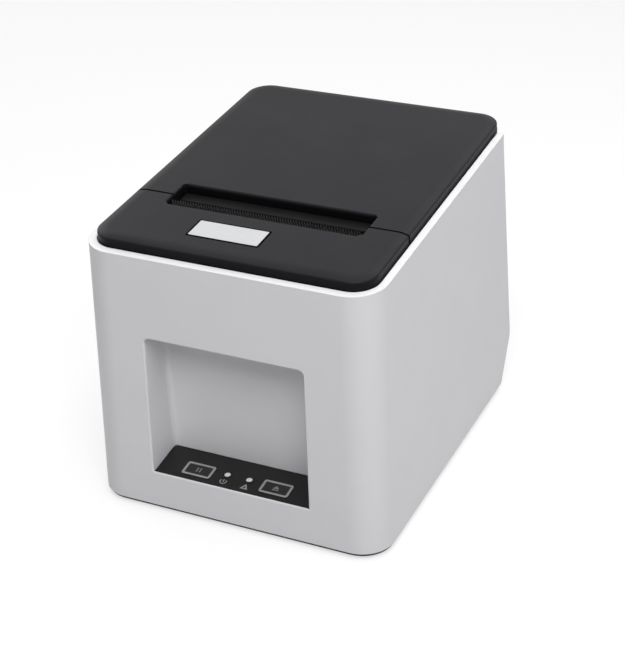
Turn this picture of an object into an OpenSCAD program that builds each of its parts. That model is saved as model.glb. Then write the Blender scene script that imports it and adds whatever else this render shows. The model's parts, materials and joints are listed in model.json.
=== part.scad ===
// Receipt printer for 80 mm paper: a pale one-piece shell, a fixed front cover,
// a rear-hinged paper cover that carries the platen, and the print mechanism inside.
// Millimetres. +Z is up and the front face looks towards -Y. The origin lies on the
// table under the middle of the case.

/* [Case] */
// Width over the side walls at the rim
rim_w = 132; // [124:1:144]
// Outward lean of each side wall between the rim and its lower edge
flare = 2.5; // [0:0.1:4]
// Height of the rim above the table at the front
rim_h = 123.2; // [118:0.5:132]
// Rise of the rim towards the rear, in degrees
rim_slope = 4; // [2:0.5:6]
// Depth of the side walls at the rim
rim_d = 153.3; // [150:0.5:158]
// Greatest depth of the side walls
waist_d = 167.4; // [162:0.5:172]
// Height of the deepest point of the side walls
waist_z = 24.4; // [18:0.5:32]
// Depth of the side walls at their lower edge
heel_d = 155; // [150:0.5:160]
// Radius of the two upright front corners
corner_r = 14.5; // [8:0.5:18]
// Thickness of the side walls, seen as the pale rim
side_wall = 3.2; // [2.4:0.1:4]
// Thickness of the front wall, seen as the pale rim
front_wall = 3.8; // [2.8:0.1:4.5]
// Height of the shell's lower edge above the table
shell_z = 3; // [2.5:0.1:5]

/* [Covers] */
// Height of the covers above the rim plane
crown_h = 4.85; // [4.4:0.05:6]
// Height of the covers' upright edge above the rim plane
crown_edge_h = 3.75; // [3:0.05:4]
// Width of the soft slope between the edge and the flat top
crown_run = 5; // [4:0.5:9]
// Open joint between the covers' lip and the rim
lip_gap = 0.4; // [0.3:0.05:0.8]
// Distance from the front face to the joint between the covers
seam_y = 46.2; // [44.5:0.1:50]
// Width of the joint between the covers
seam_gap = 0.5; // [0.3:0.1:1]
// Rear end of the paper cover
cover_d = 163.9; // [160:0.1:166]
// Width of the paper exit
exit_w = 89.6; // [86:0.2:92]
// Front edge of the paper exit
exit_y0 = 37.8; // [36:0.1:39]
// Rear edge of the paper exit
exit_y1 = 56.2; // [55:0.1:58]
// Thickness of the covers' skin
skin = 2.2; // [1.8:0.1:2.6]
// How far the paper cover's hinge stands below its rim plane
hinge_drop = 21.4; // [21:0.2:23]

/* [Front recess] */
// Width of the recess at its floor
bay_w = 73.8; // [64:0.2:80]
// Inward lean of each side of the recess, in degrees
bay_draft = 0.67; // [0:0.05:2]
// Sideways offset of the recess
bay_x = -1; // [-2:0.1:2]
// Lower edge of the recess at the front face
bay_z0 = 20; // [18:0.5:24]
// Upper edge of the recess
bay_z1 = 86.2; // [75:0.5:95]
// Depth of the recess at its floor
bay_d0 = 20.4; // [18:0.1:21.5]
// Depth of the recess at its ceiling
bay_d1 = 15.6; // [14:0.1:17]
// Rise of the key panel towards the rear, in degrees
panel_tilt = 6.5; // [0:0.5:8]
// Width of a key
key_w = 13.8; // [10:0.1:15]
// Length of a key along the panel
key_l = 8.3; // [6:0.1:8.6]
// Distance of each key from the middle of the panel's layout
key_x = 18.45; // [17:0.05:19]
// Distance of each status light from the middle of the panel's layout
lamp_x = 5.2; // [4:0.1:7]
// Radius of a status light
lamp_r = 1.65; // [1.2:0.05:2]
// Sideways offset of the panel's layout
layout_x = -0.1; // [-1:0.1:1]

/* [Paper path] */
// Radius of the paper compartment
roll_r = 41; // [38:0.5:41.5]
// Inner width of the paper compartment
bin_w = 84; // [80:0.5:85]
// Radius of the rubber platen
platen_r = 5.5; // [5:0.1:6]
// Length of the rubber platen
platen_l = 82; // [78:0.5:82]
// Pitch of the tear bar's teeth
tooth_pitch = 0.94; // [0.8:0.02:1.4]

/* [Gear train] */
// Gear module
gear_m = 0.6; // [0.5:0.01:0.62]
// Teeth of the platen gear
platen_teeth = 18; // [15:1:18]
// Teeth of the reduction gear's small wheel
small_teeth = 16; // [14:1:17]
// Teeth of the reduction gear's large wheel
large_teeth = 54; // [51:1:56]
// Teeth of the motor pinion
pinion_teeth = 14; // [12:1:15]

/* [Smoothness] */
// Facets of a full circle in previews
$fn = 72; // [32:8:128]

/* [Hidden] */
e = 0.01;                                  // overshoot of a cut
fit_gap = 0.3;                             // gap between neighbouring parts
run_fit = 0.04;                            // a bore's radius over that of the pin that turns in it
case_mid = waist_d / 2 - 0.1;              // the origin's distance behind the front face
slope_t = tan(rim_slope);
draft = atan(flare / (rim_h - shell_z));   // lean of a side wall
fan = slope_t * flare / (rim_h - shell_z); // the walls open by this much per millimetre of depth
edge_lean = (waist_d - rim_d) / (rim_h + rim_d * slope_t - 5 - waist_z);
rear_lean = atan(edge_lean);

// covers, in the tilted frame of the rim plane
lip_half = rim_w / 2 - side_wall - lip_gap;
lip_y0 = front_wall + lip_gap;
lip_low = -1.8;
lip_top = 0.9;
wall_in = 0.15;                            // the covers' wall stands this far inside the lip
crown_half = lip_half - wall_in;
crown_y0 = lip_y0 + wall_in;
crown_y1 = cover_d - wall_in;
crown_r = corner_r - side_wall - lip_gap - wall_in - 0.3;
crown_rad = (pow(crown_run, 2) + pow(crown_h - crown_edge_h, 2)) / (2 * (crown_h - crown_edge_h));
crown_edge_r = 0.9;
// height at which the rounded edge meets the upright side
crown_side_h = crown_h - crown_rad
    + sqrt(pow(crown_rad - crown_edge_r, 2) - pow(crown_run - crown_edge_r, 2));
ledge_h = lip_low - 0.4;                   // top of the ledge that the covers rest over
exit_wall = 1.8;
post_r = 3;
post_bore_r = 1.2;
blade_y = 41;
blade_t = 0.8;
blade_top = 3.7;
tooth_depth = 1.7;
blade_low = -4.5;
plate_w = 31.1;
plate_l = 12;
plate_x = -6.8;
plate_y = 22.8;
plate_t = 0.5;

// front recess
lean = atan((bay_d0 - bay_d1) / (bay_z1 - bay_z0 - bay_d0 * tan(panel_tilt)));
bay_wall = 2.2;
bay_top_half = bay_w / 2 - (bay_z1 - bay_z0) * tan(bay_draft);
bay_r = 2.5;
bay_edge = 0.8;
lip_edge = 0.35;                            // round edge in front of the key panel
panel_t = 2;
panel_y0 = 0.6;
key_gap = 0.25;
key_rise = 0.15;
key_travel = 0.5;
lay_s = 7.6;                               // middle of the keys along the panel
lamp_s = 8.9;
board_n = -8;                              // top of the key board below the panel's face
switch_h = 3;                              // body of a key's switch
plunger_h = 0.8;
stem_low = board_n + switch_h + plunger_h + key_travel + fit_gap;

// paper path
platen_y = 52;
platen_z = 112;
shaft_r = 2.5;
bush_r = 4.5;
bin_y = 103.8;
bin_z = 77;
bin_t = 2.2;
bin_half = bin_w / 2;
bin_top = 114;
hinge_y = 146;
hinge_z = rim_h + hinge_y * slope_t - hinge_drop;
pin_r = 2;
hinge_boss_r = 4.5;

// print mechanism
plate_in = 45.3;                           // inner face of a side plate
plate_out = 47.3;
mech_y0 = 27;
mech_y1 = 59.9;
mech_z0 = 58;
mech_z1 = 118;
head_face = platen_y - platen_r - 0.1;      // the heating row stands this close to the rubber
head_y = head_face - 3.9;
head_z = 98.5;
head_pin_r = 1.5;
backlash = 0.1;
small_x0 = 48.5;
large_x0 = 52.6;
large_x1 = 56;
idler_y = platen_y;
idler_z = platen_z - gear_m * (platen_teeth + small_teeth) / 2 - backlash;
train = gear_m * (large_teeth + pinion_teeth) / 2 + backlash;
motor_y = 46;
motor_z = idler_z - sqrt(pow(train, 2) - pow(idler_y - motor_y, 2));
motor_r = 12;
to_pinion = atan2(motor_z - idler_z, motor_y - idler_y);
ear_turn = 50;                             // slant of the motor's mounting ears
ear_reach = 14.2;

// base, electronics and rear
base_z = 1.5;
screw_r = 1.5;
screw_head_r = 2.8;
floor_top = 3.9;
base_in = 0.95;
sock_y = 147.5;
sock_wall = 2.2;
shelf_z = 26;
inlet_x = -36;
usb_x = -6;
drawer_x = 24;
board_z = 12;
board_t = 1.6;
rear_in = 2.5;                             // the rear panel stands inside the side walls' rear edges
rear_t = 2.4;
rear_top = 103.6;
rocker_x = -49;
rocker_s = 20;
rocker_tilt = 8;

white = [0.9, 0.9, 0.91];
black = [0.13, 0.13, 0.14];
grey = [0.5, 0.51, 0.53];
steel = [0.7, 0.71, 0.73];
amber = [0.85, 0.83, 0.76];
green = [0.08, 0.32, 0.2];

// The sub-part to draw; "all" draws the whole printer

// ---------- frames ----------

module seat() translate([0, -case_mid, 0]) children();
module both() { children(); mirror([1, 0, 0]) children(); }
module rim_frame() seat() translate([0, 0, rim_h]) rotate([rim_slope, 0, 0]) children();
module panel_frame() seat() translate([bay_x, 0, bay_z0]) rotate([panel_tilt, 0, 0]) children();
module rear_frame()
    seat() translate([0, edge_y(shelf_z) - rear_in, shelf_z]) rotate([rear_lean, 0, 0]) children();
// draws a (y, z) outline and gives it a width along x
module across(x0, w) translate([x0, 0, 0]) rotate([90, 0, 90]) linear_extrude(w) children();
// draws an (x, z) outline and gives it a depth along y
module along(y0, d) translate([0, y0 + d, 0]) rotate([90, 0, 0]) linear_extrude(d) children();

function edge_y(z) = waist_d - (z - waist_z) * edge_lean;
function unit(v) = v / norm(v);
function corner_angle(a, v, b) = acos(unit(a - v) * unit(b - v));
function corner_cut(a, v, b, r) = r / tan(corner_angle(a, v, b) / 2);
function corner_mid(a, v, b, r) = v + unit(unit(a - v) + unit(b - v)) * r / sin(corner_angle(a, v, b) / 2);

// ---------- outlines ----------

// a polygon whose outward corners are rounded by radii
module soft_polygon(pts, radii) {
    n = len(pts);
    function before(i) = pts[(i + n - 1) % n];
    function after(i) = pts[(i + 1) % n];
    polygon([for (i = [0:n - 1]) each radii[i] == 0 ? [pts[i]] : [
        pts[i] + unit(before(i) - pts[i]) * corner_cut(before(i), pts[i], after(i), radii[i]),
        corner_mid(before(i), pts[i], after(i), radii[i]),
        pts[i] + unit(after(i) - pts[i]) * corner_cut(before(i), pts[i], after(i), radii[i])]]);
    for (i = [0:n - 1]) if (radii[i] > 0)
        translate(corner_mid(before(i), pts[i], after(i), radii[i])) circle(radii[i]);
}

module soft_square(w, h, r) {
    translate([-w / 2 + r, -h / 2]) square([w - 2 * r, h]);
    translate([-w / 2, -h / 2 + r]) square([w, h - 2 * r]);
    for (x = [-1, 1], y = [-1, 1]) translate([x * (w / 2 - r), y * (h / 2 - r)]) circle(r);
}

module stadium(l, w) {
    translate([-(l - w) / 2, -w / 2]) square([l - w, w]);
    for (s = [-1, 1]) translate([s * (l - w) / 2, 0]) circle(w / 2);
}

// what a round edge of radius r removes from a square corner at the origin
module edge_waste(r) difference() {
    translate([-e, -e]) square(r + e);
    translate([r, r]) circle(r);
}

// ---------- case ----------

// right half of the case in plan, with the front corner rounded
module case_plan(in_x, in_y) {
    half = rim_w / 2 - in_x;
    r = corner_r - (in_x + in_y) / 2;
    translate([half - r, in_y + r]) circle(r);
    translate([-12, in_y]) square([half - r + 12, 180]);
    polygon([[0, in_y + r], [half, in_y + r], [half + fan * 180, in_y + 180], [0, in_y + 180]]);
}

// the case's leaning walls, inset sideways and at the front
module case_block(in_x, in_y) both()
    translate([0, 0, rim_h]) rotate([0, -draft, 0]) translate([0, 0, -rim_h - 6])
        linear_extrude(rim_h + 30) case_plan(in_x, in_y);

// side outline of the shell, with the flat rim plane on top
module side_outline()
    soft_polygon([[-5, shell_z], [heel_d, shell_z], [waist_d, waist_z],
                  [rim_d, rim_h + rim_d * slope_t - 5], [rim_d, rim_h + rim_d * slope_t],
                  [-5, rim_h - 5 * slope_t]],
                 [0, 0, 6, 0, 0, 0]);

// the recess as a solid, grown outwards: leaning rear wall, drafted sides, rounded corners
module bay_block(grow, y0, z_low) translate([bay_x, 0, 0]) difference() {
    intersection() {
        across(-60, 120)
            polygon([[y0, bay_z0 + y0 * tan(panel_tilt) + z_low],
                     [bay_d0 + 6, bay_z0 + (bay_d0 + 6) * tan(panel_tilt) + z_low],
                     [bay_d0 + 6, bay_z1 + grow], [y0, bay_z1 + grow]]);
        both() translate([0, 0, bay_z0]) rotate([0, -bay_draft, 0]) translate([0, bay_d0, 0])
            rotate([lean, 0, 0]) translate([0, 0, -12]) linear_extrude(100) {
                translate([-9, -40]) square([bay_w / 2 + grow + 9, 40 - bay_r]);
                translate([-9, -40]) square([bay_w / 2 - bay_r + 9, 40 + grow]);
                translate([bay_w / 2 - bay_r, -bay_r]) circle(bay_r + grow);
            }
    }
    both() along(y0 - 1, 60) translate([bay_top_half + grow, bay_z1 + grow]) rotate(180)
        edge_waste(bay_r + grow);
}

// the round front edge of the recess
module bay_rounding() translate([bay_x, 0, 0]) {
    both() {
        translate([bay_w / 2, 0, bay_z0]) rotate([0, -bay_draft, 0])
            linear_extrude(bay_z1 - bay_z0 - bay_r) edge_waste(bay_edge);
        translate([0, 0, bay_z1]) rotate([90, 0, 90]) translate([0, 0, -e])
            linear_extrude(bay_top_half - bay_r + e) edge_waste(bay_edge);
        translate([bay_top_half - bay_r, 0, bay_z1 - bay_r]) rotate([90, 0, 0]) mirror([0, 0, 1])
            rotate_extrude(angle = 90) translate([bay_r, 0]) edge_waste(bay_edge);
        // the floor's narrow front lip
        translate([0, 0, bay_z0]) mirror([0, 0, 1]) rotate([90, 0, 90]) translate([0, 0, -e])
            linear_extrude(bay_w / 2) edge_waste(lip_edge);
    }
}

// a hollow screw boss of the shell, tied to the side wall by two ribs
module shell_boss(y) {
    translate([57.5, y, floor_top]) difference() {
        union() {
            cylinder(h = 30, r = 3.6);
            for (d = [-1.6, 1.6]) translate([0, d - 0.6, 8]) cube([9, 1.2, 18]);
        }
        translate([0, 0, -e]) cylinder(h = 14, r = screw_r + 0.02);
    }
}

module outer_shell() color(white) seat() difference() {
    union() {
        difference() {
            intersection() {
                case_block(0, 0);
                across(-90, 180) side_outline();
            }
            case_block(side_wall, front_wall);
        }
        intersection() {
            union() {
                // ledge under the covers' lip and the webs that carry it
                translate([0, 0, rim_h]) rotate([rim_slope, 0, 0]) difference() {
                    translate([-70, 1, ledge_h - 2]) cube([140, 138, 2]);
                    translate([-58.5, 10, ledge_h - 4]) cube([117, 140, 8]);
                }
                both() for (y = [30, 62, 94, 126])
                    translate([58.5, y, rim_h - 16]) cube([8, 1.6, 14 + y * slope_t]);
                both() for (y = [24, 136]) shell_boss(y);
                // grooves for the rear panel
                both() for (d = [-rear_in - rear_t - 2.1, -rear_in + fit_gap]) across(62, 8)
                    polygon([for (z = [30, 118]) [edge_y(z) + d, z],
                             for (z = [118, 30]) [edge_y(z) + d + 1.8, z]]);
            }
            difference() {
                case_block(side_wall - 0.6, front_wall - 0.6);
                translate([-60, 30, 0]) cube([120, 160, 30]);
                translate([-53.5, 10, 0]) cube([107, 160, 40]);
                translate([-61, 139, 40]) cube([122, 40, 100]);
            }
        }
        difference() {
            bay_block(bay_wall, front_wall - 0.6, -panel_t - bay_wall);
            bay_block(0, -5, -panel_t);
        }
    }
    bay_block(0, -5, 0);
    translate([bay_x, 0, bay_z0]) rotate([panel_tilt, 0, 0]) {
        translate([-bay_w / 2, panel_y0, -panel_t]) cube([bay_w, bay_d0 - panel_y0 - 0.1, panel_t + 0.2]);
        // passages for the keys' stems and the light pipes
        for (s = [-1, 1]) {
            translate([layout_x + s * key_x - 4, lay_s - 2.6, -8]) cube([8, 5.2, 8]);
            translate([layout_x + s * lamp_x, lamp_s, -8]) cylinder(h = 8, r = lamp_r + 0.15);
        }
    }
    bay_rounding();
}

// a foot's position over the floor
module at_feet() for (x = [-50, 50], y = [16, 143]) translate([x, y, 0]) children();
module at_screws() for (x = [-57.5, 57.5], y = [24, 136]) translate([x, y, 0]) children();
module at_pillars() for (x = [-41.2, 41.2], y = [32, 54]) translate([x, y, 0]) children();
module at_board_posts() for (x = [-33, 33], y = [70, 128]) translate([x, y, 0]) children();

module base_case() color(black) seat() difference() {
    union() {
        intersection() {
            case_block(base_in, base_in);
            translate([-80, 0, base_z]) cube([160, heel_d - base_in, shell_z - base_z - 0.02]);
        }
        intersection() {
            case_block(side_wall + fit_gap, front_wall + fit_gap);
            union() {
                translate([-80, 0, shell_z - 0.1]) cube([160, heel_d - base_in, floor_top - shell_z + 0.1]);
                difference() {
                    translate([-80, 0, shell_z]) cube([160, sock_y + sock_wall, 6.4]);
                    case_block(side_wall + fit_gap + 1.8, front_wall + fit_gap + 1.8);
                }
                // wall of the socket niche
                translate([-80, sock_y, shell_z]) cube([160, sock_wall, shelf_z - shell_z - 0.2]);
                for (x = [-56, -46, 44.4, 54.4]) across(x, 1.6)
                    polygon([[sock_y - 6, shell_z], [sock_y + e, shell_z], [sock_y + e, 20]]);
            }
        }
        at_pillars() {
            translate([0, 0, base_z]) cylinder(h = mech_z0 - base_z, r = 3.6);
            for (a = [0, 90]) rotate([0, 0, a]) across(-0.6, 1.2)
                polygon([[-7, floor_top - e], [7, floor_top - e], [3, 24], [-3, 24]]);
        }
        at_board_posts() translate([0, 0, base_z]) cylinder(h = board_z - base_z - 0.02, r = 3.2);
        for (x = [-24, 24]) translate([bay_x + x, 9.6, base_z]) cylinder(h = 9.5, r = 2.6);
        for (x = [-25, 0, 25]) translate([x - 0.8, 62, floor_top - e]) cube([1.6, 78, 2.5]);
    }
    at_feet() translate([0, 0, base_z - e]) cylinder(h = 0.8, r = 6.2);
    at_screws() {
        translate([0, 0, base_z - e]) cylinder(h = 10, r = 1.7);
        translate([0, 0, base_z - e]) cylinder(h = 1.4 + e, r = 3.1);
        translate([0, 0, floor_top]) cylinder(h = 20, r = 4.6);
    }
    at_pillars() translate([0, 0, mech_z0 - 12]) cylinder(h = 13, r = screw_r + 0.02);
    at_board_posts() translate([0, 0, board_z - 6]) cylinder(h = 7, r = 1.02);
    for (x = [-20:8:20]) translate([x, 98, base_z - e]) linear_extrude(6) rotate(90) stadium(34, 3);
    // openings for the three sockets
    for (p = [[inlet_x, 12.4], [usb_x, 12.8], [drawer_x, 14.2]])
        translate([p[0] - p[1] / 2, sock_y - 1, board_z + board_t]) cube([p[1], 5, 11.2]);
}

module rear_panel() color(black) difference() {
    intersection() {
        seat() case_block(side_wall + fit_gap, front_wall);
        difference() {
            union() {
                rear_frame() translate([-80, -rear_t, 0]) cube([160, rear_t, rear_top]);
                // shelf over the socket niche
                seat() translate([-80, sock_y, shelf_z]) cube([160, edge_y(shelf_z) - rear_in - sock_y, 1.8]);
                seat() for (x = [-30, -18, 18, 52]) across(x - 0.8, 1.6)
                    polygon([[sock_y + 4, shelf_z + 1], [edge_y(shelf_z) - 4, shelf_z + 1],
                             [edge_y(56) - 4.6, 56]]);
            }
            // passages for the hinge arms
            rear_frame() both() translate([44.9, -12, 76]) cube([6.6, 20, 40]);
            // cooling slots
            rear_frame() for (x = [-24:8:24]) translate([x, 2, 34]) rotate([90, 0, 0])
                linear_extrude(8) rotate(90) stadium(26, 3);
            rear_frame() translate([rocker_x, 2, rocker_s]) rotate([90, 0, 0])
                linear_extrude(8) soft_square(19.6, 13.4, 1);
        }
    }
}

// ---------- covers ----------

// half outline of a crowned top: flat middle, soft slope, rounded edge, upright side
module crown_outline(half, low) {
    slope_x = half - crown_run;
    touch_x = slope_x + (crown_run - crown_edge_r) * crown_rad / (crown_rad - crown_edge_r);
    translate([0, low]) square([slope_x, crown_h - low]);
    intersection() {
        translate([slope_x, crown_h - crown_rad]) circle(crown_rad, $fn = 240);
        translate([0, low]) square([touch_x, crown_h - low]);
    }
    translate([half - crown_edge_r, crown_side_h]) circle(crown_edge_r);
    translate([0, low]) square([half, crown_side_h - low]);
}

// the crowned top that both covers are cut from, in the rim frame
module crown_block(low) {
    mid_y = (crown_y0 + crown_y1) / 2;
    half_y = (crown_y1 - crown_y0) / 2;
    translate([0, mid_y, 0]) {
        along(-half_y + crown_r, 2 * (half_y - crown_r)) {
            crown_outline(crown_half, low);
            mirror([1, 0]) crown_outline(crown_half, low);
        }
        across(-crown_half + crown_r, 2 * (crown_half - crown_r)) {
            crown_outline(half_y, low);
            mirror([1, 0]) crown_outline(half_y, low);
        }
        for (x = [0, 1], y = [0, 1]) mirror([x, 0, 0]) mirror([0, y, 0])
            translate([crown_half - crown_r, half_y - crown_r, 0]) rotate_extrude(angle = 90)
                intersection() {
                    translate([-(crown_half - crown_r), 0]) crown_outline(crown_half, low);
                    translate([0, low]) square([crown_r + 1, crown_h - low]);
                }
    }
}

// plan of the covers inside a given inset, with all four corners rounded
module cover_plan(in) {
    translate([0, (lip_y0 + cover_d) / 2])
        soft_square(2 * (lip_half - in), cover_d - lip_y0 - 2 * in, crown_r + wall_in - in);
}

// crowned top, lip and hollow underside, before the exit is cut
module cover_shell() difference() {
    union() {
        crown_block(lip_top - 1);
        translate([0, 0, lip_low]) linear_extrude(lip_top - lip_low) cover_plan(0);
    }
    translate([0, 0, lip_low - 1]) linear_extrude(crown_h - skin - lip_low + 1) cover_plan(skin);
}

// plan of the paper exit: round behind, cut corners in front
module exit_plan(grow) {
    soft_polygon([[-exit_w / 2 - grow, exit_y0 + 1.6], [-exit_w / 2 + 1.6, exit_y0 - grow],
                  [exit_w / 2 - 1.6, exit_y0 - grow], [exit_w / 2 + grow, exit_y0 + 1.6],
                  [exit_w / 2 + grow, exit_y1 + grow], [-exit_w / 2 - grow, exit_y1 + grow]],
                 [0, 0, 0, 0, 1.5 + grow, 1.5 + grow]);
}

// the round upper edge of the paper exit
module exit_rounding() translate([0, 0, crown_h]) {
    both() translate([exit_w / 2, exit_y0 + 1.6, 0]) rotate([-90, 0, 0])
        linear_extrude(exit_y1 - exit_y0 - 3.1) edge_waste(0.8);
    for (s = [0, 1]) translate([0, s == 1 ? exit_y1 : exit_y0, 0]) mirror([0, 1 - s, 0])
        rotate([0, 0, 90]) rotate([-90, 0, 0]) translate([0, 0, -exit_w / 2 + 1.6])
            linear_extrude(exit_w - 3.2) edge_waste(0.8);
}

// the screw posts under the covers
module at_front_posts() both() for (y = [20, 38]) translate([53.5, y, 0]) children();
module at_rear_posts() both() for (y = [66, 138]) translate([52, y, 0]) children();

// everything in front of (or behind) the joint between the covers
module front_side() translate([-80, -10, -40]) cube([160, seam_y - seam_gap / 2 + 10, 80]);
module rear_side() translate([-80, seam_y + seam_gap / 2, -40]) cube([160, 200, 80]);

module front_cover() color(black) rim_frame() difference() {
    union() {
        intersection() {
            front_side();
            union() {
                cover_shell();
                translate([0, 0, lip_low]) linear_extrude(crown_h - lip_low - 0.2)
                    difference() {
                        exit_plan(exit_wall);
                        translate([-60, seam_y]) square([120, 30]);
                    }
            }
        }
        // shelf that the tear bar is screwed to
        translate([-exit_w / 2 - 1, exit_y0 - exit_wall, blade_low])
            cube([exit_w + 2, blade_y - exit_y0 + exit_wall, 4]);
        // ribs and posts under the skin
        for (x = [-40, -20, 0, 20, 40])
            translate([x - 0.7, 8, lip_low]) cube([1.4, 29, crown_h - skin - lip_low + 0.4]);
        at_front_posts() translate([0, 0, lip_low]) cylinder(h = crown_h - skin - lip_low + 0.4, r = post_r);
    }
    difference() {
        translate([0, 0, blade_low + 4]) linear_extrude(20) exit_plan(0);
        translate([-60, blade_y + 40, -20]) cube([120, 20, 40]);
    }
    translate([-exit_w / 2, blade_y, blade_low - 1]) cube([exit_w, 20, 20]);
    exit_rounding();
    at_front_posts() translate([0, 0, lip_low - e]) cylinder(h = 4, r = post_bore_r);
    // seat of the name plate
    translate([plate_x - plate_w / 2 - 0.15, plate_y - plate_l / 2 - 0.15, crown_h - 0.35])
        cube([plate_w + 0.3, plate_l + 0.3, 1]);
}

module paper_cover() color(black) rim_frame() difference() {
    union() {
        intersection() {
            rear_side();
            union() {
                cover_shell();
                // side and rear walls of the exit
                translate([0, 0, 0.45]) linear_extrude(crown_h - 0.65) exit_plan(exit_wall);
                both() translate([exit_w / 2, seam_y, lip_low]) cube([exit_wall, exit_y1 - seam_y, 3]);
            }
        }
        for (x = [-30, 0, 30]) translate([x - 0.7, 62, 0.2]) cube([1.4, 92, crown_h - skin]);
        for (y = [74, 98, 122, 146]) translate([-56, y, 0.2]) cube([112, 1.4, crown_h - skin]);
        at_rear_posts() translate([0, 0, -0.6]) cylinder(h = crown_h - skin + 0.8, r = post_r);
    }
    translate([0, 0, -10]) linear_extrude(20) exit_plan(0);
    exit_rounding();
    at_rear_posts() translate([0, 0, -1]) cylinder(h = 3, r = post_bore_r);
}

// side outline of the arm that holds a platen bush, in (y, z)
module bush_arm_outline()
    soft_polygon([[platen_y - 5.4, platen_z - 1], [platen_y - 3, platen_z - 6.2], [platen_y + 2.6, platen_z - 6.2],
                  [platen_y + 6.4, platen_z + 1], [platen_y + 9, 127.1], [platen_y - 5.4, 126.1]],
                 [3, 3, 3, 2, 0, 0]);

// side outline of a hinge arm, in (y, z)
module hinge_arm_outline() {
    translate([hinge_y, hinge_z]) circle(4);
    polygon([[hinge_y - 4, hinge_z], [hinge_y + 4, hinge_z], [hinge_y + 3.2, hinge_z + 12],
             [hinge_y - 1, hinge_z + 19.4], [hinge_y - 22, hinge_z + 17.9], [hinge_y - 9, hinge_z + 11]]);
}

module cover_frame() color(black) {
    rim_frame() difference() {
        union() {
            // deck, with the rounded ledge that guides the paper at its front
            across(-44.2, 88.4) soft_polygon([[exit_y1 - 0.2, 0.4], [50.1, 0.2], [49.5, -3.4], [60, -4.6],
                                              [64, -2.6], [64, -0.7], [exit_y1 + 2, -0.7]],
                                             [0, 0.6, 0.8, 0, 0, 0, 0]);
            translate([-54, 60, -2.6]) cube([108, 78, 1.9]);
            both() translate([42.6, 60, -6]) cube([1.6, 76, 4]);
            for (x = [-27, -9, 9, 27]) translate([x - 0.7, 58, -5]) cube([1.4, 78, 3]);
        }
        for (x = [-18, 0, 18], y = [78, 116])
            translate([x, y, -4]) linear_extrude(6) rotate(90) stadium(28, 9);
        at_rear_posts() translate([0, 0, -4]) cylinder(h = 6, r = post_bore_r + 0.2);
    }
    seat() difference() {
        both() {
            across(42.05, 2.35) bush_arm_outline();
            across(45.6, 3.9) hinge_arm_outline();
        }
        across(-60, 120) translate([platen_y, platen_z]) circle(bush_r + 0.02);
        across(-60, 120) translate([hinge_y, hinge_z]) circle(pin_r + run_fit);
    }
}

module name_plate() color(white) rim_frame()
    translate([plate_x, plate_y, crown_h - 0.35]) linear_extrude(plate_t) soft_square(plate_w, plate_l, 0.4);

module tear_bar() color(steel) rim_frame() {
    teeth = floor((exit_w - 3) / tooth_pitch);
    half = teeth * tooth_pitch / 2;
    difference() {
        along(blade_y + e, blade_t)
            polygon([[half, blade_low], [half, blade_top - tooth_depth],
                     for (i = [0:teeth - 1], p = [[0.28, blade_top], [0.5, blade_top], [1, blade_top - tooth_depth]])
                         [half - (i + p[0]) * tooth_pitch, p[1]],
                     [-half, blade_low]]);
        for (x = [-30, 0, 30]) translate([x, blade_y - 1, -2.6]) rotate([-90, 0, 0]) cylinder(h = 4, r = 1.2);
    }
}

// ---------- front recess ----------

module control_panel() color(black) panel_frame() difference() {
    translate([-bay_w / 2 + 0.15, panel_y0 + 0.1, -panel_t])
        cube([bay_w - 0.3, bay_d0 - panel_y0 - 0.5, panel_t - e]);
    both() translate([bay_w / 2 - 0.15, bay_d0 - 0.4, -panel_t - 1]) rotate([0, 0, 180])
        linear_extrude(5) edge_waste(2.4);
    for (s = [-1, 1]) {
        translate([layout_x + s * key_x, lay_s, -5]) linear_extrude(8)
            soft_square(key_w + 2 * key_gap, key_l + 2 * key_gap, 1.2);
        translate([layout_x + s * lamp_x, lamp_s, -5]) cylinder(h = 8, r = lamp_r + 0.05);
    }
}

// a key: soft cap, hidden stem
module key_cap() {
    difference() {
        translate([0, 0, -1.5]) linear_extrude(1.5 + key_rise) soft_square(key_w, key_l, 1);
        translate([0, 0, -1.6]) linear_extrude(0.9) soft_square(key_w - 2, key_l - 2, 0.6);
    }
    translate([-3, -1.8, stem_low]) cube([6, 3.6, -stem_low - 0.4]);
}

module pause_key() color(black) panel_frame() translate([layout_x - key_x, lay_s, 0]) key_cap();
module feed_key() color(black) panel_frame() translate([layout_x + key_x, lay_s, 0]) key_cap();

module light_pipes() color(amber) panel_frame() for (s = [-1, 1])
    translate([layout_x + s * lamp_x, lamp_s, 0]) {
        translate([0, 0, -7.2]) cylinder(h = 7.2, r = lamp_r);
        intersection() {
            translate([0, 0, -3.2]) sphere(r = 3.6);
            translate([0, 0, -1]) cylinder(h = 3, r = lamp_r);
        }
    }

module key_board() color(green) panel_frame() difference() {
    translate([-32, 3.7, board_n - board_t]) cube([64, 14.4, board_t]);
    for (x = [-24, 24]) translate([x, 9, board_n - 4]) cylinder(h = 6, r = 1.1);
}

module key_switches() color(grey) panel_frame() for (s = [-1, 1]) {
    translate([layout_x + s * key_x - 3, lay_s - 2.6, board_n]) cube([6, 5.2, switch_h + 0.1]);
    translate([layout_x + s * key_x, lay_s, board_n + switch_h]) cylinder(h = plunger_h, r = 1.6);
    translate([layout_x + s * lamp_x - 1, lamp_s - 0.6, board_n]) cube([2, 1.2, 0.6]);
}

// ---------- platen and gears ----------

function inv(a) = tan(a) * 180 / PI - a;

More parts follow.
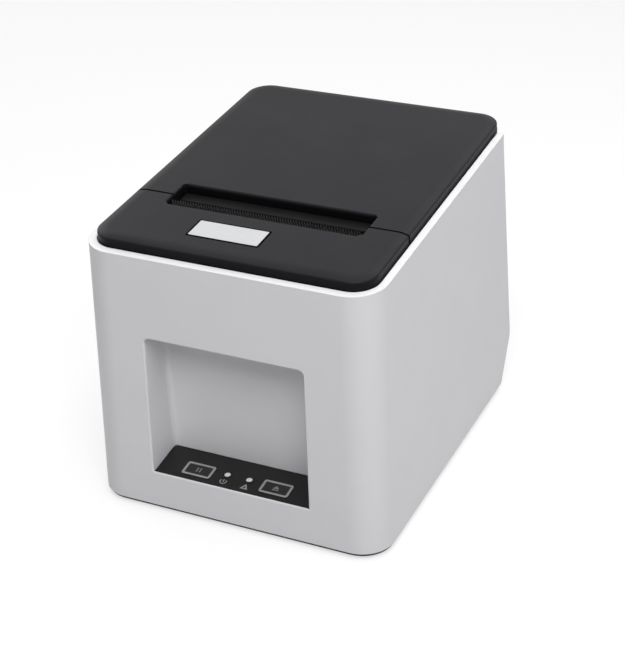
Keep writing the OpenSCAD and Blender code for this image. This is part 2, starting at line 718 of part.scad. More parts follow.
// angles and radii around one tooth of an involute gear
function tooth_polar(teeth, a) =
    let (pitch = gear_m * teeth / 2, root = pitch - 1.2 * gear_m, tip = pitch + 0.92 * gear_m,
         base = pitch * cos(20), low = max(base, root) + 0.02,
         thick = 90 / teeth - 1.6 / pitch + inv(20),
         spread = function (r) thick - inv(acos(base / r)),
         steps = [for (k = [0:5]) low + (tip - low) * k / 5])
    concat([[a - 180 / teeth, root], [a - spread(low) - 0.5, root]],
           [for (r = steps) [a - spread(r), r]],
           [for (k = [5:-1:0]) [a + spread(steps[k]), steps[k]]],
           [[a + spread(low) + 0.5, root]]);

// involute gear outline, first tooth along angle 0
module gear_outline(teeth)
    polygon([for (i = [0:teeth - 1], p = tooth_polar(teeth, 360 * i / teeth)) p[1] * [cos(p[0]), sin(p[0])]]);

module platen_roller() color(black) seat() across(-platen_l / 2, platen_l)
    translate([platen_y, platen_z]) difference() {
        circle(platen_r);
        circle(shaft_r);
    }

module platen_shaft() color(steel) seat() {
    across(-48.6, 96.8) translate([platen_y, platen_z]) circle(shaft_r);
    // flattened end that drives the gear
    across(48.2, 4) translate([platen_y, platen_z]) intersection() {
        circle(shaft_r);
        square([2 * shaft_r, 3.6], center = true);
    }
}

module platen_gear() color(white) seat() translate([0, platen_y, platen_z]) difference() {
    across(small_x0, 3.6) rotate(-90) gear_outline(platen_teeth);
    across(small_x0 - 1, 8) intersection() {
        circle(shaft_r);
        square([2 * shaft_r, 3.6], center = true);
    }
}

module platen_bushes() color(amber) seat() both() translate([0, platen_y, platen_z]) difference() {
    union() {
        across(41.95, plate_out - 41.95 + 0.4) circle(bush_r);
        across(41.3, 0.7) circle(bush_r + 1.1);
    }
    across(40, 10) circle(shaft_r + run_fit);
}

module reduction_gear() color(white) seat() translate([0, idler_y, idler_z]) difference() {
    union() {
        across(small_x0, large_x0 - small_x0) rotate(90 + 180 / small_teeth) gear_outline(small_teeth);
        across(large_x0, large_x1 - large_x0) difference() {
            rotate(to_pinion) gear_outline(large_teeth);
            for (s = [0:5]) rotate(60 * s) translate([10.4, 0]) circle(3.4);
        }
    }
    across(small_x0 - 1, 12) circle(head_pin_r + run_fit);
}

module gear_post() color(steel) seat() translate([0, idler_y, idler_z]) {
    across(plate_in, 11.9) circle(head_pin_r);
    across(plate_out, 0.8) circle(2.8);
    across(56.3, 0.6) difference() {
        circle(3);
        translate([1.2, -0.7]) square([3, 1.4]);
    }
}

module motor_pinion() color(steel) seat() translate([0, motor_y, motor_z]) {
    across(32, large_x1 - 32 + 0.6) circle(1.25);
    across(large_x0 + 0.2, large_x1 - large_x0 - 0.2)
        rotate(to_pinion + 180 + 180 / pinion_teeth) gear_outline(pinion_teeth);
}

module feed_motor() color(grey) seat() translate([0, motor_y, motor_z]) difference() {
    union() {
        across(24, 19) circle(motor_r);
        across(22.8, 1.2) circle(motor_r - 1.4);
        across(43, plate_in - 43) {
            circle(motor_r + 0.2);
            rotate(ear_turn) soft_square(35, 7.6, 3.7);
        }
        across(plate_in, 1.6) circle(4);
        translate([27, -7, -motor_r - 3.2]) cube([9, 14, 6]);
    }
    across(31.5, 30) circle(1.29);
    for (s = [-1, 1]) across(40, 10) rotate(ear_turn) translate([ear_reach * s, 0]) circle(1.55);
}

// ---------- print mechanism ----------

module side_plate_outline() difference() {
    soft_polygon([[mech_y0, mech_z0], [mech_y1, mech_z0], [mech_y1, 96], [59.4, mech_z1], [34, mech_z1],
                  [mech_y0, 108]], [0, 0, 0, 1.5, 3, 4]);
    // open seat of a platen bush, wider towards the rear as the cover swings
    translate([platen_y, platen_z]) circle(bush_r + fit_gap);
    polygon([[platen_y - bush_r - fit_gap, platen_z], [platen_y + bush_r + fit_gap, platen_z],
             [platen_y + bush_r + 1.3, mech_z1 + 1], [platen_y - bush_r - 0.8, mech_z1 + 1]]);
    translate([head_y, head_z]) circle(head_pin_r);
    translate([33, 84]) rotate(90) stadium(14, 5);
}

module mechanism_frame() color(grey) seat() difference() {
    union() {
        both() across(plate_in, plate_out - plate_in) side_plate_outline();
        // floor, front beam and rear tie of the frame
        difference() {
            translate([-plate_in, mech_y0, mech_z0]) cube([2 * plate_in, mech_y1 - mech_y0, 2]);
            for (x = [-24, 0, 24]) translate([x, 43, mech_z0 - 1]) linear_extrude(4) stadium(18, 14);
        }
        translate([-plate_in, mech_y0 + 1, 98]) cube([2 * plate_in, 2, 17]);
        translate([-plate_in, mech_y0 + 1, 98]) cube([2 * plate_in, 6, 1.6]);
        translate([-plate_in, mech_y1 - 1.2, mech_z0]) cube([2 * plate_in, 1.2, 7]);
        for (x = [-22, 22]) translate([x, mech_y0 + 2, 112]) rotate([-90, 0, 0]) cylinder(h = 2.5, r = 1.7);
    }
    at_pillars() translate([0, 0, mech_z0 - 1]) cylinder(h = 4, r = 1.6);
    translate([0, idler_y, idler_z]) across(40, 12) circle(head_pin_r);
    translate([0, motor_y, motor_z]) across(40, 12) {
        circle(4.05);
        for (s = [-1, 1]) rotate(ear_turn) translate([ear_reach * s, 0]) circle(1.3);
    }
}

module print_head() color(amber) seat() {
    translate([-40.5, head_face - 1.2, 103]) cube([81, 1, 15]);
    // glaze bead with the row of heating dots
    intersection() {
        across(-40, 80) translate([head_face - 1.2, platen_z]) circle(1.2);
        translate([-41, head_face - 0.2 - e, 100]) cube([82, 2, 20]);
    }
    translate([-30, head_face - 1.2, 99]) cube([60, 1.4, 4]);
}

module head_heatsink() color(grey) seat() difference() {
    union() {
        translate([-41, head_face - 4.3, 101]) cube([82, 3.09, 17.4]);
        for (x = [-38:4:38]) if (abs(abs(x) - 22) > 3.5)
            translate([x - 0.6, head_face - 7.3, 104]) cube([1.2, 3.1, 14]);
        both() across(39.6, 4.4) {
            translate([head_y, head_z]) circle(3);
            polygon([[head_y - 3, head_z], [head_y + 2.5, head_z], [head_face - 1.3, 101.5],
                     [head_face - 1.3, 104], [head_face - 4.3, 104]]);
        }
    }
    across(-50, 100) translate([head_y, head_z]) circle(head_pin_r + run_fit);
}

module head_pin() color(steel) seat() {
    across(-48.6, 97.2) translate([head_y, head_z]) circle(head_pin_r);
    both() across(plate_out + 0.1, 0.6) translate([head_y, head_z]) circle(2.8);
}

// a short coil spring along y: rings tied by a wire
module head_spring(l) {
    pitch = (l - 0.7) / 6;
    for (k = [0:6]) translate([0, 0.35 + k * pitch, 0]) rotate([90, 0, 0])
        rotate_extrude() translate([2.3, 0]) circle(0.34, $fn = 24);
    translate([0, 0.3, 2.3]) rotate([-90, 0, 0]) cylinder(h = l - 0.6, r = 0.25);
}

module head_springs() color(steel) seat() for (x = [-22, 22])
    translate([x, mech_y0 + 3.05, 112]) head_spring(head_face - 4.35 - mech_y0 - 3.05);

// ---------- paper compartment ----------

module bin_outline(r) difference() {
    union() {
        translate([bin_y, bin_z]) circle(r);
        translate([bin_y - r, bin_z]) square([2 * r, bin_top - bin_z]);
    }
    translate([bin_y - 60, bin_top]) square([120, 40]);
}

module paper_bin() color(black) seat() difference() {
    union() {
        difference() {
            across(-bin_half, bin_w) bin_outline(roll_r + bin_t);
            across(-bin_half - 1, bin_w + 2) bin_outline(roll_r);
        }
        // side walls, cut down between the ends
        both() across(bin_half, 2) difference() {
            union() {
                bin_outline(roll_r + bin_t);
                translate([hinge_y, hinge_z]) circle(hinge_boss_r);
                for (y = [bin_y - roll_r - bin_t, bin_y + roll_r + bin_t - 9])
                    translate([y, floor_top]) square([9, bin_z - floor_top]);
            }
            translate([bin_y, bin_top + 9]) circle(26);
            translate([bin_y, bin_z]) circle(9);
        }
        both() across(bin_half, 3.3) translate([hinge_y, hinge_z]) circle(hinge_boss_r);
        // rolled lip that leads the paper to the platen
        across(-bin_half, bin_w) translate([bin_y - roll_r - bin_t / 2, bin_top]) circle(1.8);
        // ribs round the trough
        for (x = [-28, 0, 28]) across(x - 0.8, 1.6) difference() {
            translate([bin_y, bin_z]) circle(roll_r + bin_t + 1.8);
            translate([bin_y, bin_z]) circle(roll_r + 1);
            translate([bin_y - 80, bin_z - 6]) square([160, 80]);
        }
    }
    across(-60, 120) translate([hinge_y, hinge_z]) circle(pin_r);
    // sensor window
    translate([-bin_half - 5, 84, 58]) cube([6, 8, 6]);
}

module hinge_pins() color(steel) seat() both() translate([0, hinge_y, hinge_z]) {
    across(bin_half - 0.6, 9.3) circle(pin_r);
    across(49.8, 1.2) circle(3.2);
    across(bin_half + 7, 1.2) circle(pin_r);
}

module paper_sensor() color(grey) seat() difference() {
    union() {
        translate([-bin_half - 5.4, 84.2, 58.2]) cube([5, 7.6, 5.6]);
        translate([-bin_half - 5.4, 80, 56]) cube([3.2, 16, 10]);
    }
    translate([-bin_half - 6, 94, 61]) rotate([0, 90, 0]) cylinder(h = 5, r = 1.1);
}

// ---------- electronics ----------

module main_board() color(green) seat() difference() {
    translate([-38, 66, board_z]) cube([76, 81.2, board_t]);
    at_board_posts() translate([0, 0, board_z - 1]) cylinder(h = 4, r = 1.1);
}

module board_chips() color(black) seat() translate([0, 0, board_z + board_t]) {
    translate([-8, 96, 0]) cube([14, 14, 1.4]);
    translate([12, 104, 0]) cube([10, 8, 1.6]);
    translate([-26, 100, 0]) cube([9, 12, 2.2]);
    for (x = [-30, -18]) translate([x, 120, 0]) cylinder(h = 11, r = 4);
    for (x = [14, 22]) translate([x, 122, 0]) cylinder(h = 8, r = 3);
    translate([-22, 72, 0]) cube([26, 5, 6]);
    translate([12, 72, 0]) cube([14, 5, 6]);
}

module power_inlet() color(black) seat() translate([inlet_x, 0, board_z + board_t]) difference() {
    union() {
        translate([-5.5, 135, 0]) cube([11, 14.4, 10.6]);
        translate([0, 141, 5.4]) sphere(r = 1);
    }
    translate([0, 138, 5.4]) rotate([-90, 0, 0]) difference() {
        cylinder(h = 12, r = 3.2);
        cylinder(h = 10.4, r = 1);
    }
}

module usb_socket() color(steel) seat() translate([usb_x, 0, board_z + board_t]) difference() {
    translate([-6, 133, 0]) cube([12, 16.4, 10.8]);
    difference() {
        along(139, 12) soft_polygon([[-4.6, 1], [4.6, 1], [4.6, 8.2], [3, 9.8], [-3, 9.8], [-4.6, 8.2]],
                                    [0, 0, 0, 0, 0, 0]);
        translate([-2.9, 138, 4]) cube([5.8, 10, 3]);
    }
}

module drawer_socket() color(black) seat() translate([drawer_x, 0, board_z + board_t]) difference() {
    translate([-6.8, 133, 0]) cube([13.6, 16.4, 11]);
    along(138, 13) polygon([[-5, 3.4], [5, 3.4], [5, 9.6], [-5, 9.6]]);
    along(138, 13) polygon([[-3.2, 1.8], [3.2, 1.8], [3.2, 4], [-3.2, 4]]);
    translate([-1.6, 138, 1]) cube([3.2, 12, 1.6]);
}

// ---------- rear, feet and screws ----------

module rocker_frame() rear_frame() translate([rocker_x, 0, rocker_s]) children();

module rocker_housing() color(black) rocker_frame() difference() {
    union() {
        translate([0, 1.6, 0]) rotate([90, 0, 0]) linear_extrude(1.6) soft_square(22, 15.6, 1.6);
        translate([0, e, 0]) rotate([90, 0, 0]) linear_extrude(13) soft_square(19.2, 13, 0.8);
        for (z = [-3.5, 3.5]) translate([-4, -18, z - 0.4]) cube([6, 6, 0.8]);
    }
    translate([0, 4, 0]) rotate([90, 0, 0]) linear_extrude(12.6) soft_square(16.6, 10.6, 0.6);
}

// rocker pivoting about the upright axis, one end pressed in
module power_rocker() color(black) rocker_frame() translate([0, -2.6, 0]) rotate([0, 0, rocker_tilt])
    translate([0, 0, -5]) linear_extrude(10) intersection() {
        translate([0, -9.6]) difference() {
            circle(15);
            translate([0, 27.4]) circle(15);
        }
        translate([-7.6, -3.4]) square([15.2, 12]);
    }

module rubber_feet() color(black) seat() at_feet() {
    translate([0, 0, 0.5]) cylinder(h = base_z + 0.75 - 0.5, r = 6);
    cylinder(h = 0.5 + e, r1 = 5.5, r2 = 6);
}

// pan-head screw pointing up from z = 0
module screw(l, r, head_r, head_h) {
    difference() {
        translate([0, 0, -head_h]) cylinder(h = head_h, r = head_r);
        for (a = [0, 90]) rotate([0, 0, a])
            translate([-head_r * 0.6, -0.3, -head_h - e]) cube([head_r * 1.2, 0.6, head_h * 0.5]);
    }
    translate([0, 0, -e]) cylinder(h = l, r = r);
}

module base_screws() color(steel) seat() at_screws()
    translate([0, 0, base_z + 1.4]) screw(11, screw_r, screw_head_r, 1.2);

module frame_screws() color(steel) seat() at_pillars() translate([0, 0, mech_z0 + 2]) mirror([0, 0, 1])
    screw(9, screw_r, screw_head_r, 1.4);

outer_shell();
base_case();
rear_panel();
front_cover();
paper_cover();
cover_frame();
name_plate();
tear_bar();
control_panel();
pause_key();
feed_key();
light_pipes();
key_board();
key_switches();
platen_roller();
platen_shaft();
platen_gear();
platen_bushes();
reduction_gear();
gear_post();
motor_pinion();
feed_motor();
mechanism_frame();
print_head();
head_heatsink();
head_pin();
head_springs();
paper_bin();
hinge_pins();
paper_sensor();
main_board();
board_chips();
power_inlet();
usb_socket();
drawer_socket();
rocker_housing();
power_rocker();
rubber_feet();
base_screws();
frame_screws();
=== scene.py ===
"""Looks of a desktop receipt printer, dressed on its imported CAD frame.

Metres; +Z is up, the front face looks towards -Y and the origin lies on the table under the
middle of the case. Each sub-assembly is a class that owns its sizes, gives its CAD nodes their
finishes and builds its small pieces.
"""

from __future__ import annotations

import json
import logging
import math
from dataclasses import dataclass
from enum import Enum
from typing import Any, ClassVar, Iterable

import bmesh
import bpy
from mathutils import Matrix, Vector

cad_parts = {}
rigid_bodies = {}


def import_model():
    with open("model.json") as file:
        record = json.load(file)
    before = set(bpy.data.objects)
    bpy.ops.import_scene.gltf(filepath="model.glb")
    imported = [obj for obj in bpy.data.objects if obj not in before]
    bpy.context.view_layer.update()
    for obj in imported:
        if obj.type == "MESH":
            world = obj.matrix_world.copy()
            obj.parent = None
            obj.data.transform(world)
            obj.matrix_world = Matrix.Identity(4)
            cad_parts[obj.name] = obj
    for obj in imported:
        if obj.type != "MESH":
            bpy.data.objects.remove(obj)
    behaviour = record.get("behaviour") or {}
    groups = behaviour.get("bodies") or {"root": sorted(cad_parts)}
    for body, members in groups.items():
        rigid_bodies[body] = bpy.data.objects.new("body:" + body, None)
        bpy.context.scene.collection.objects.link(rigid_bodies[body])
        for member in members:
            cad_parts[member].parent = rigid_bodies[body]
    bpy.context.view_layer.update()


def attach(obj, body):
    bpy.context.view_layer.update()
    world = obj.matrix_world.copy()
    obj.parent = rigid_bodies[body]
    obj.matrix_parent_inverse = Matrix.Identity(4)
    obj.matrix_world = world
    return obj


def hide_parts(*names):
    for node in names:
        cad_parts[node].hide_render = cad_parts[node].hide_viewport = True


Node = bpy.types.Node
Outputs = bpy.types.NodeOutputs
Socket = bpy.types.NodeSocket
Edge = bmesh.types.BMEdge
Face = bmesh.types.BMFace
Vert = bmesh.types.BMVert
Colour = tuple[float, float, float]
Sizes = tuple[float, ...]

LOG = logging.getLogger("receipt_printer")
SIZE_DIGITS = 6
MM = 0.001
STRETCH = 0.02  # scale of the coordinates along the lines of a brushed finish
BEVEL_SAMPLES = 4
SMOOTH_DEGREES = 35.0  # edges flatter than this shade smoothly
SPIN_DEGREES = 9.0  # turn between two steps of a ring
MERGE_DISTANCE = 1e-7
MIX_INPUTS, MIX_RESULT = (0, 6, 7), 2  # the Mix node's mask and colours, and its result
WHITE = (1.0, 1.0, 1.0, 1.0)
SIDES = (-1, 1)


class Effect(Enum):
    """Shader node groups that several finishes share: name, inputs and outputs."""

    GRAIN = ("moulded_grain", ("Size",), ("Height", "Tone"))
    BRUSH = ("brushed_lines", ("Size",), ("Height", "Tone"))
    SMUDGE = ("handling_marks", ("Size",), ("Mask",))
    SCRATCH = ("fine_scratches", ("Size",), ("Mask",))
    # edges lightened partly as wear and partly as painted highlight
    EDGE = ("worn_and_highlit_edges", ("Size",), ("Mask",))
    # mask for the painted shade on the covers' upright skirts
    SKIRT = ("skirt_painted_shade", ("Along", "Up", "Low", "High"), ("Mask",))


class Run(Enum):
    """Direction that a brushed or turned finish runs in, as scales of its coordinates."""

    X = (STRETCH, 1.0, 1.0)
    Y = (1.0, STRETCH, 1.0)
    Z = (1.0, 1.0, STRETCH)
    NONE = (1.0, 1.0, 1.0)


class Symbol(Enum):
    """Generic signs on the keys, the key panel and the rocker."""

    PAUSE = "pause"
    FEED = "feed"
    POWER = "power"
    ALERT = "alert"
    LINE = "line"
    RING = "ring"


def mm(*values: float) -> Sizes:
    """Returns millimetres as metres."""
    return tuple(value * MM for value in values)


def move(*place: float) -> Matrix:
    """Returns the matrix that moves by x, y and z."""
    return Matrix.Translation(place)


def tilt(degrees: float, axis: str) -> Matrix:
    """Returns the matrix that turns about an axis."""
    return Matrix.Rotation(math.radians(degrees), 4, axis)


# ---------- shader building ----------


class Graph:
    """A thin typed helper around one node tree."""

    def __init__(self, tree: bpy.types.NodeTree) -> None:
        """Keeps the tree, emptied of the nodes it starts with."""
        self.tree = tree
        tree.nodes.clear()

    def add(self, kind: str, values: dict[Any, Any] | None = None, **settings: Any) -> Node:
        """Adds a node.

        Args:
            kind: Blender's node type name, without its ShaderNode prefix.
            values: its inputs, as for feed.
            **settings: attributes of the node itself.

        Returns:
            The new node.
        """
        node = self.tree.nodes.new("ShaderNode" + kind)
        for name, value in settings.items():
            setattr(node, name, value)
        self.feed(node, values or {})
        return node

    def feed(self, node: Node, values: dict[Any, Any]) -> None:
        """Sets or links a node's inputs.

        Args:
            node: the node.
            values: input name or index to its value, or to the socket that feeds it.
        """
        for key, value in values.items():
            if isinstance(value, Socket):
                self.tree.links.new(value, node.inputs[key])
            else:
                node.inputs[key].default_value = value

    def math(self, operation: str, first: Any, second: Any, clamp: bool = False) -> Socket:
        """Returns the result of a Math node on two sockets or numbers, clamped if asked."""
        node = self.add("Math", {0: first, 1: second}, operation=operation, use_clamp=clamp)
        return node.outputs[0]

    def times(self, first: Any, second: Any) -> Socket:
        """Returns the product of two sockets or numbers."""
        return self.math("MULTIPLY", first, second)

    def span(
        self, value: Socket, low: float, high: float, to_low: float = 0.0, to_high: float = 1.0
    ) -> Socket:
        """Returns a value mapped from low..high to to_low..to_high, clamped."""
        values = {0: value, 1: low, 2: high, 3: to_low, 4: to_high}
        return self.add("MapRange", values, clamp=True).outputs[0]

    def between(self, mask: Socket, first: float, second: float) -> Socket:
        """Returns a number that goes from first to second as a mask goes from 0 to 1."""
        return self.span(mask, 0.0, 1.0, first, second)

    def mix(self, mask: Socket, first: Any, second: Any) -> Socket:
        """Returns two colours or sockets mixed: the first where the mask is 0."""
        ends = [end if isinstance(end, Socket) else (*end, 1.0) for end in (first, second)]
        values = dict(zip(MIX_INPUTS, (mask, *ends)))
        return self.add("Mix", values, data_type="RGBA").outputs[MIX_RESULT]

    def seen(self) -> Socket:
        """Finds the rays that look straight at a surface or see it in a gloss or a glass.

        Returns:
            The socket that is 1 for such a ray, else 0.
        """
        path = self.add("LightPath").outputs
        open_view = self.math("MAXIMUM", path["Is Camera Ray"], path["Is Glossy Ray"])
        return self.math("MAXIMUM", open_view, path["Is Transmission Ray"])


class EffectLibrary:
    """Builds each shared effect group once and places it in materials."""

    def __init__(self) -> None:
        """Starts with no group built."""
        self.groups: dict[Effect, bpy.types.NodeTree] = {}

    def place(
        self, graph: Graph, effect: Effect, run: Run = Run.NONE, **values: float
    ) -> Outputs:
        """Puts an effect into a material.

        Args:
            graph: the material's graph.
            effect: which group.
            run: direction along which the effect is stretched.
            **values: the group's named inputs.

        Returns:
            The group node's outputs.
        """
        if effect not in self.groups:
            self.groups[effect] = self._build(effect)
        coordinates = {"Vector": graph.add("TexCoord").outputs["Object"], "Scale": run.value}
        inputs = {"Vector": graph.add("Mapping", coordinates).outputs["Vector"], **values}
        return graph.add("Group", inputs, node_tree=self.groups[effect]).outputs

    def _build(self, effect: Effect) -> bpy.types.NodeTree:
        """Makes a group's sockets, and its inner nodes by the method of its name.

        Args:
            effect: which group.

        Returns:
            The new node tree.
        """
        name, inputs, outputs = effect.value
        tree = bpy.data.node_groups.new(name, "ShaderNodeTree")
        tree.interface.new_socket("Vector", in_out="INPUT", socket_type="NodeSocketVector")
        for way, names in (("INPUT", inputs), ("OUTPUT", outputs)):
            for socket in names:
                tree.interface.new_socket(socket, in_out=way, socket_type="NodeSocketFloat")
        graph = Graph(tree)
        source = tree.nodes.new("NodeGroupInput").outputs
        results = getattr(self, f"_{effect.name.lower()}")(graph, source)
        graph.feed(tree.nodes.new("NodeGroupOutput"), dict(zip(outputs, results)))
        return tree

    @staticmethod
    def _noise(graph: Graph, source: Outputs, spread: float, detail: float) -> Socket:
        """Returns a noise whose features are Size times spread across."""
        scale = graph.math("DIVIDE", 1.0 / spread, source["Size"])
        values = {"Vector": source["Vector"], "Scale": scale, "Detail": detail, "Roughness": 0.55}
        return graph.add("TexNoise", values).outputs[0]

    def _grain(self, graph: Graph, source: Outputs) -> tuple[Socket, ...]:
        """Spark-eroded mould texture: rounded cells over a faint mottle."""
        scale = graph.math("DIVIDE", 1.0, source["Size"])
        values = {"Vector": source["Vector"], "Scale": scale, "Randomness": 1.0}
        cells = graph.add("TexVoronoi", values, feature="SMOOTH_F1").outputs[0]
        fine = self._noise(graph, source, spread=0.7, detail=2.0)
        mottle = self._noise(graph, source, spread=60.0, detail=4.0)
        height = graph.math("ADD", graph.times(cells, 0.65), graph.times(fine, 0.5))
        tone = graph.math("ADD", graph.times(mottle, 0.6), graph.times(fine, 0.4))
        return height, graph.span(tone, low=0.35, high=0.65)

    def _brush(self, graph: Graph, source: Outputs) -> tuple[Socket, ...]:
        """Long fine lines left by grinding, turning or rolling."""
        lines = self._noise(graph, source, spread=1.0, detail=3.0)
        broad = self._noise(graph, source, spread=7.0, detail=2.0)
        return lines, graph.span(graph.times(lines, broad), low=0.12, high=0.42)

    def _smudge(self, graph: Graph, source: Outputs) -> tuple[Socket, ...]:
        """Soft patches where hands polish a surface."""
        patches = self._noise(graph, source, spread=1.0, detail=3.0)
        return (graph.span(patches, low=0.42, high=0.68),)

    def _scratch(self, graph: Graph, source: Outputs) -> tuple[Socket, ...]:
        """Sparse hair-thin rubs."""
        values = {"Vector": source["Vector"], "Scale": 40.0, "Detail": 2.0, "Distortion": 0.6}
        warp = graph.add("TexNoise", values).outputs[0]
        scale = graph.math("DIVIDE", 1.0, source["Size"])
        values = {"Vector": source["Vector"], "Scale": scale, "Detail": 2.0, "Distortion": 14.0}
        bands = graph.add("TexWave", values, wave_type="BANDS", bands_direction="DIAGONAL")
        thin = graph.span(bands.outputs[1], low=0.985, high=1.0)
        return (graph.times(thin, graph.span(warp, low=0.55, high=0.65)),)

    def _edge(self, graph: Graph, source: Outputs) -> tuple[Socket, ...]:
        """Bright along sharp edges: partly rubbed wear, partly painted highlight."""
        soft = graph.add("Bevel", {"Radius": source["Size"]}, samples=BEVEL_SAMPLES).outputs[0]
        normals = {0: soft, 1: graph.add("NewGeometry").outputs["Normal"]}
        match = graph.add("VectorMath", normals, operation="DOT_PRODUCT").outputs["Value"]
        wear_and_highlight_edges = graph.span(match, low=0.8, high=0.99, to_low=1.0, to_high=0.0)
        patches = self._noise(graph, source, spread=9.0, detail=3.0)
        return (graph.times(wear_and_highlight_edges, graph.span(patches, low=0.3, high=0.6, to_low=0.55)),)

    def _skirt(self, graph: Graph, source: Outputs) -> tuple[Socket, ...]:
        """Mask for painted shade: full below one level of a tilted plane, none above another."""
        parts = graph.add("SeparateXYZ", {0: source["Vector"]}).outputs
        along = graph.times(parts["Y"], source["Along"])
        level = graph.math("ADD", along, graph.times(parts["Z"], source["Up"]))
        depth = graph.math("SUBTRACT", source["High"], level)
        reach = graph.math("SUBTRACT", source["High"], source["Low"])
        return (graph.math("DIVIDE", depth, reach, clamp=True),)


LIBRARY = EffectLibrary()


@dataclass(frozen=True)
class Finish:
    """What every finish has: a name, a main colour and a roughness."""

    name: str
    colour: Colour
    roughness: float

    def material(self) -> bpy.types.Material:
        """Builds the finish's material, or returns the one already built.

        Returns:
            The material.
        """
        found = bpy.data.materials.get(self.name)
        if found is not None:
            return found
        made = bpy.data.materials.new(self.name)
        made.use_nodes = True
        graph = Graph(made.node_tree)
        made.diffuse_color = (*self.colour, 1.0)
        values = {"Base Color": (*self.colour, 1.0), "Roughness": self.roughness}
        shader = graph.add("BsdfPrincipled", values)
        graph.add("OutputMaterial", {0: shader.outputs[0]})
        self.dress(graph, shader)
        return made

    def dress(self, graph: Graph, shader: Node) -> None:
        """Adds the finish's own nodes; each kind of finish has its own."""

    def shade(self, factor: float) -> Colour:
        """Returns the main colour darkened or lightened by a factor."""
        return tuple(min(1.0, part * factor) for part in self.colour)

    @staticmethod
    def bump(graph: Graph, shader: Node, height: Socket, depth: float, edge: float = 0.0) -> None:
        """Feeds a height into the shader's normal.

        Args:
            graph: the material's graph.
            shader: the Principled node.
            height: the height socket.
            depth: relief in metres.
            edge: radius by which sharp edges shade as if rounded, or 0.
        """
        values = {"Strength": 1.0, "Distance": depth, "Height": height}
        if edge > 0:
            soft = graph.add("Bevel", {"Radius": edge}, samples=BEVEL_SAMPLES)
            values["Normal"] = soft.outputs[0]
        graph.feed(shader, {"Normal": graph.add("Bump", values).outputs[0]})


@dataclass(frozen=True)
class Moulded(Finish):
    """Injection-moulded plastic with an eroded grain."""

    grain: float = 0.3 * MM
    relief: float = 0.006 * MM
    mottle: float = 0.1
    patch: float = 38 * MM
    polish: float = 0.06
    dull: float = 0.04
    specular: float = 0.5
    subsurface: float = 0.0
    edge: float = 0.3 * MM
    # edges lightened by these, partly as wear and partly as painted highlight
    wear: float = 0.0
    rub: float = 4.0

    def dress(self, graph: Graph, shader: Node) -> None:
        """Adds grain, handling marks and lightened edges, partly wear and partly painted highlight.
        """
        grain = LIBRARY.place(graph, Effect.GRAIN, Size=self.grain)
        smudge = LIBRARY.place(graph, Effect.SMUDGE, Size=self.patch)
        colour = graph.mix(grain["Tone"], self.shade(1 - self.mottle), self.shade(1 + self.mottle))
        if self.wear > 0:
            wear_and_highlight_edges = LIBRARY.place(graph, Effect.EDGE, Size=self.edge)
            colour = graph.mix(graph.times(wear_and_highlight_edges["Mask"], self.wear), colour, self.shade(self.rub))
        rough = graph.between(smudge["Mask"], self.roughness, self.roughness - self.polish)
        rough = graph.math("ADD", rough, graph.times(grain["Tone"], self.dull), clamp=True)
        values = {"Base Color": colour, "Roughness": rough, "Specular IOR Level": self.specular}
        graph.feed(shader, values)
        if self.subsurface > 0:
            depths = {"Subsurface Radius": mm(2, 1.6, 1.4), "Subsurface Scale": 0.5}
            graph.feed(shader, {"Subsurface Weight": self.subsurface, **depths})
        self.bump(graph, shader, grain["Height"], self.relief, self.edge)


@dataclass(frozen=True)
class Printed(Moulded):
    """A print, or a thin strip, smoother than what it lies on."""

    grain: float = 0.15 * MM
    relief: float = 0.002 * MM


@dataclass(frozen=True)
class CrownedCover(Moulded):
    """Moulded cover whose upright skirt gets painted shade, a darker colour below the crown."""

    # painted shade: below low the skirt's colour is darkened by the factor skirt, fading out by
    # high
    low: float = 3.1 * MM
    high: float = 3.8 * MM
    skirt: float = 0.3

    def dress(self, graph: Graph, shader: Node) -> None:
        """Adds the moulded look and the painted shade on the skirt."""
        super().dress(graph, shader)
        rim = CASE.rim()
        up = rim.to_3x3() @ Vector((0, 0, 1))
        low, high = (up.dot(rim @ Vector((0, 0, level))) for level in (self.low, self.high))
        skirt = LIBRARY.place(graph, Effect.SKIRT, Along=up.y, Up=up.z, Low=low, High=high)
        colour = shader.inputs["Base Color"].links[0].from_socket
        shaded = graph.mix(skirt["Mask"], colour, self.shade(self.skirt))
        graph.feed(shader, {"Base Color": shaded})


@dataclass(frozen=True)
class Metal(Finish):
    """Bare or plated metal with lines from its making."""

    run: Run = Run.X
    line: float = 0.2 * MM
    relief: float = 0.003 * MM
    tint: float = 0.12
    dull: float = 0.08
    shine: float = 0.06
    scratch: float = 0.5
    scratch_size: float = 5 * MM
    rub: float = 1.35
    edge: float = 0.15 * MM
    metallic: float = 1.0

    def dress(self, graph: Graph, shader: Node) -> None:
        """Adds brushed lines and thin scratches."""
        lines = LIBRARY.place(graph, Effect.BRUSH, run=self.run, Size=self.line)
        rubs = LIBRARY.place(graph, Effect.SCRATCH, Size=self.scratch_size)
        colour = graph.mix(lines["Tone"], self.shade(1 - self.tint), self.shade(1 + self.tint))
        bright = graph.times(rubs["Mask"], self.scratch)
        low, high = self.roughness - self.shine, self.roughness + self.dull
        values = {
            "Base Color": graph.mix(bright, colour, self.shade(self.rub)),
            "Metallic": self.metallic,
            "Roughness": graph.between(lines["Tone"], high, low),
        }
        graph.feed(shader, values)
        self.bump(graph, shader, lines["Height"], self.relief, self.edge)


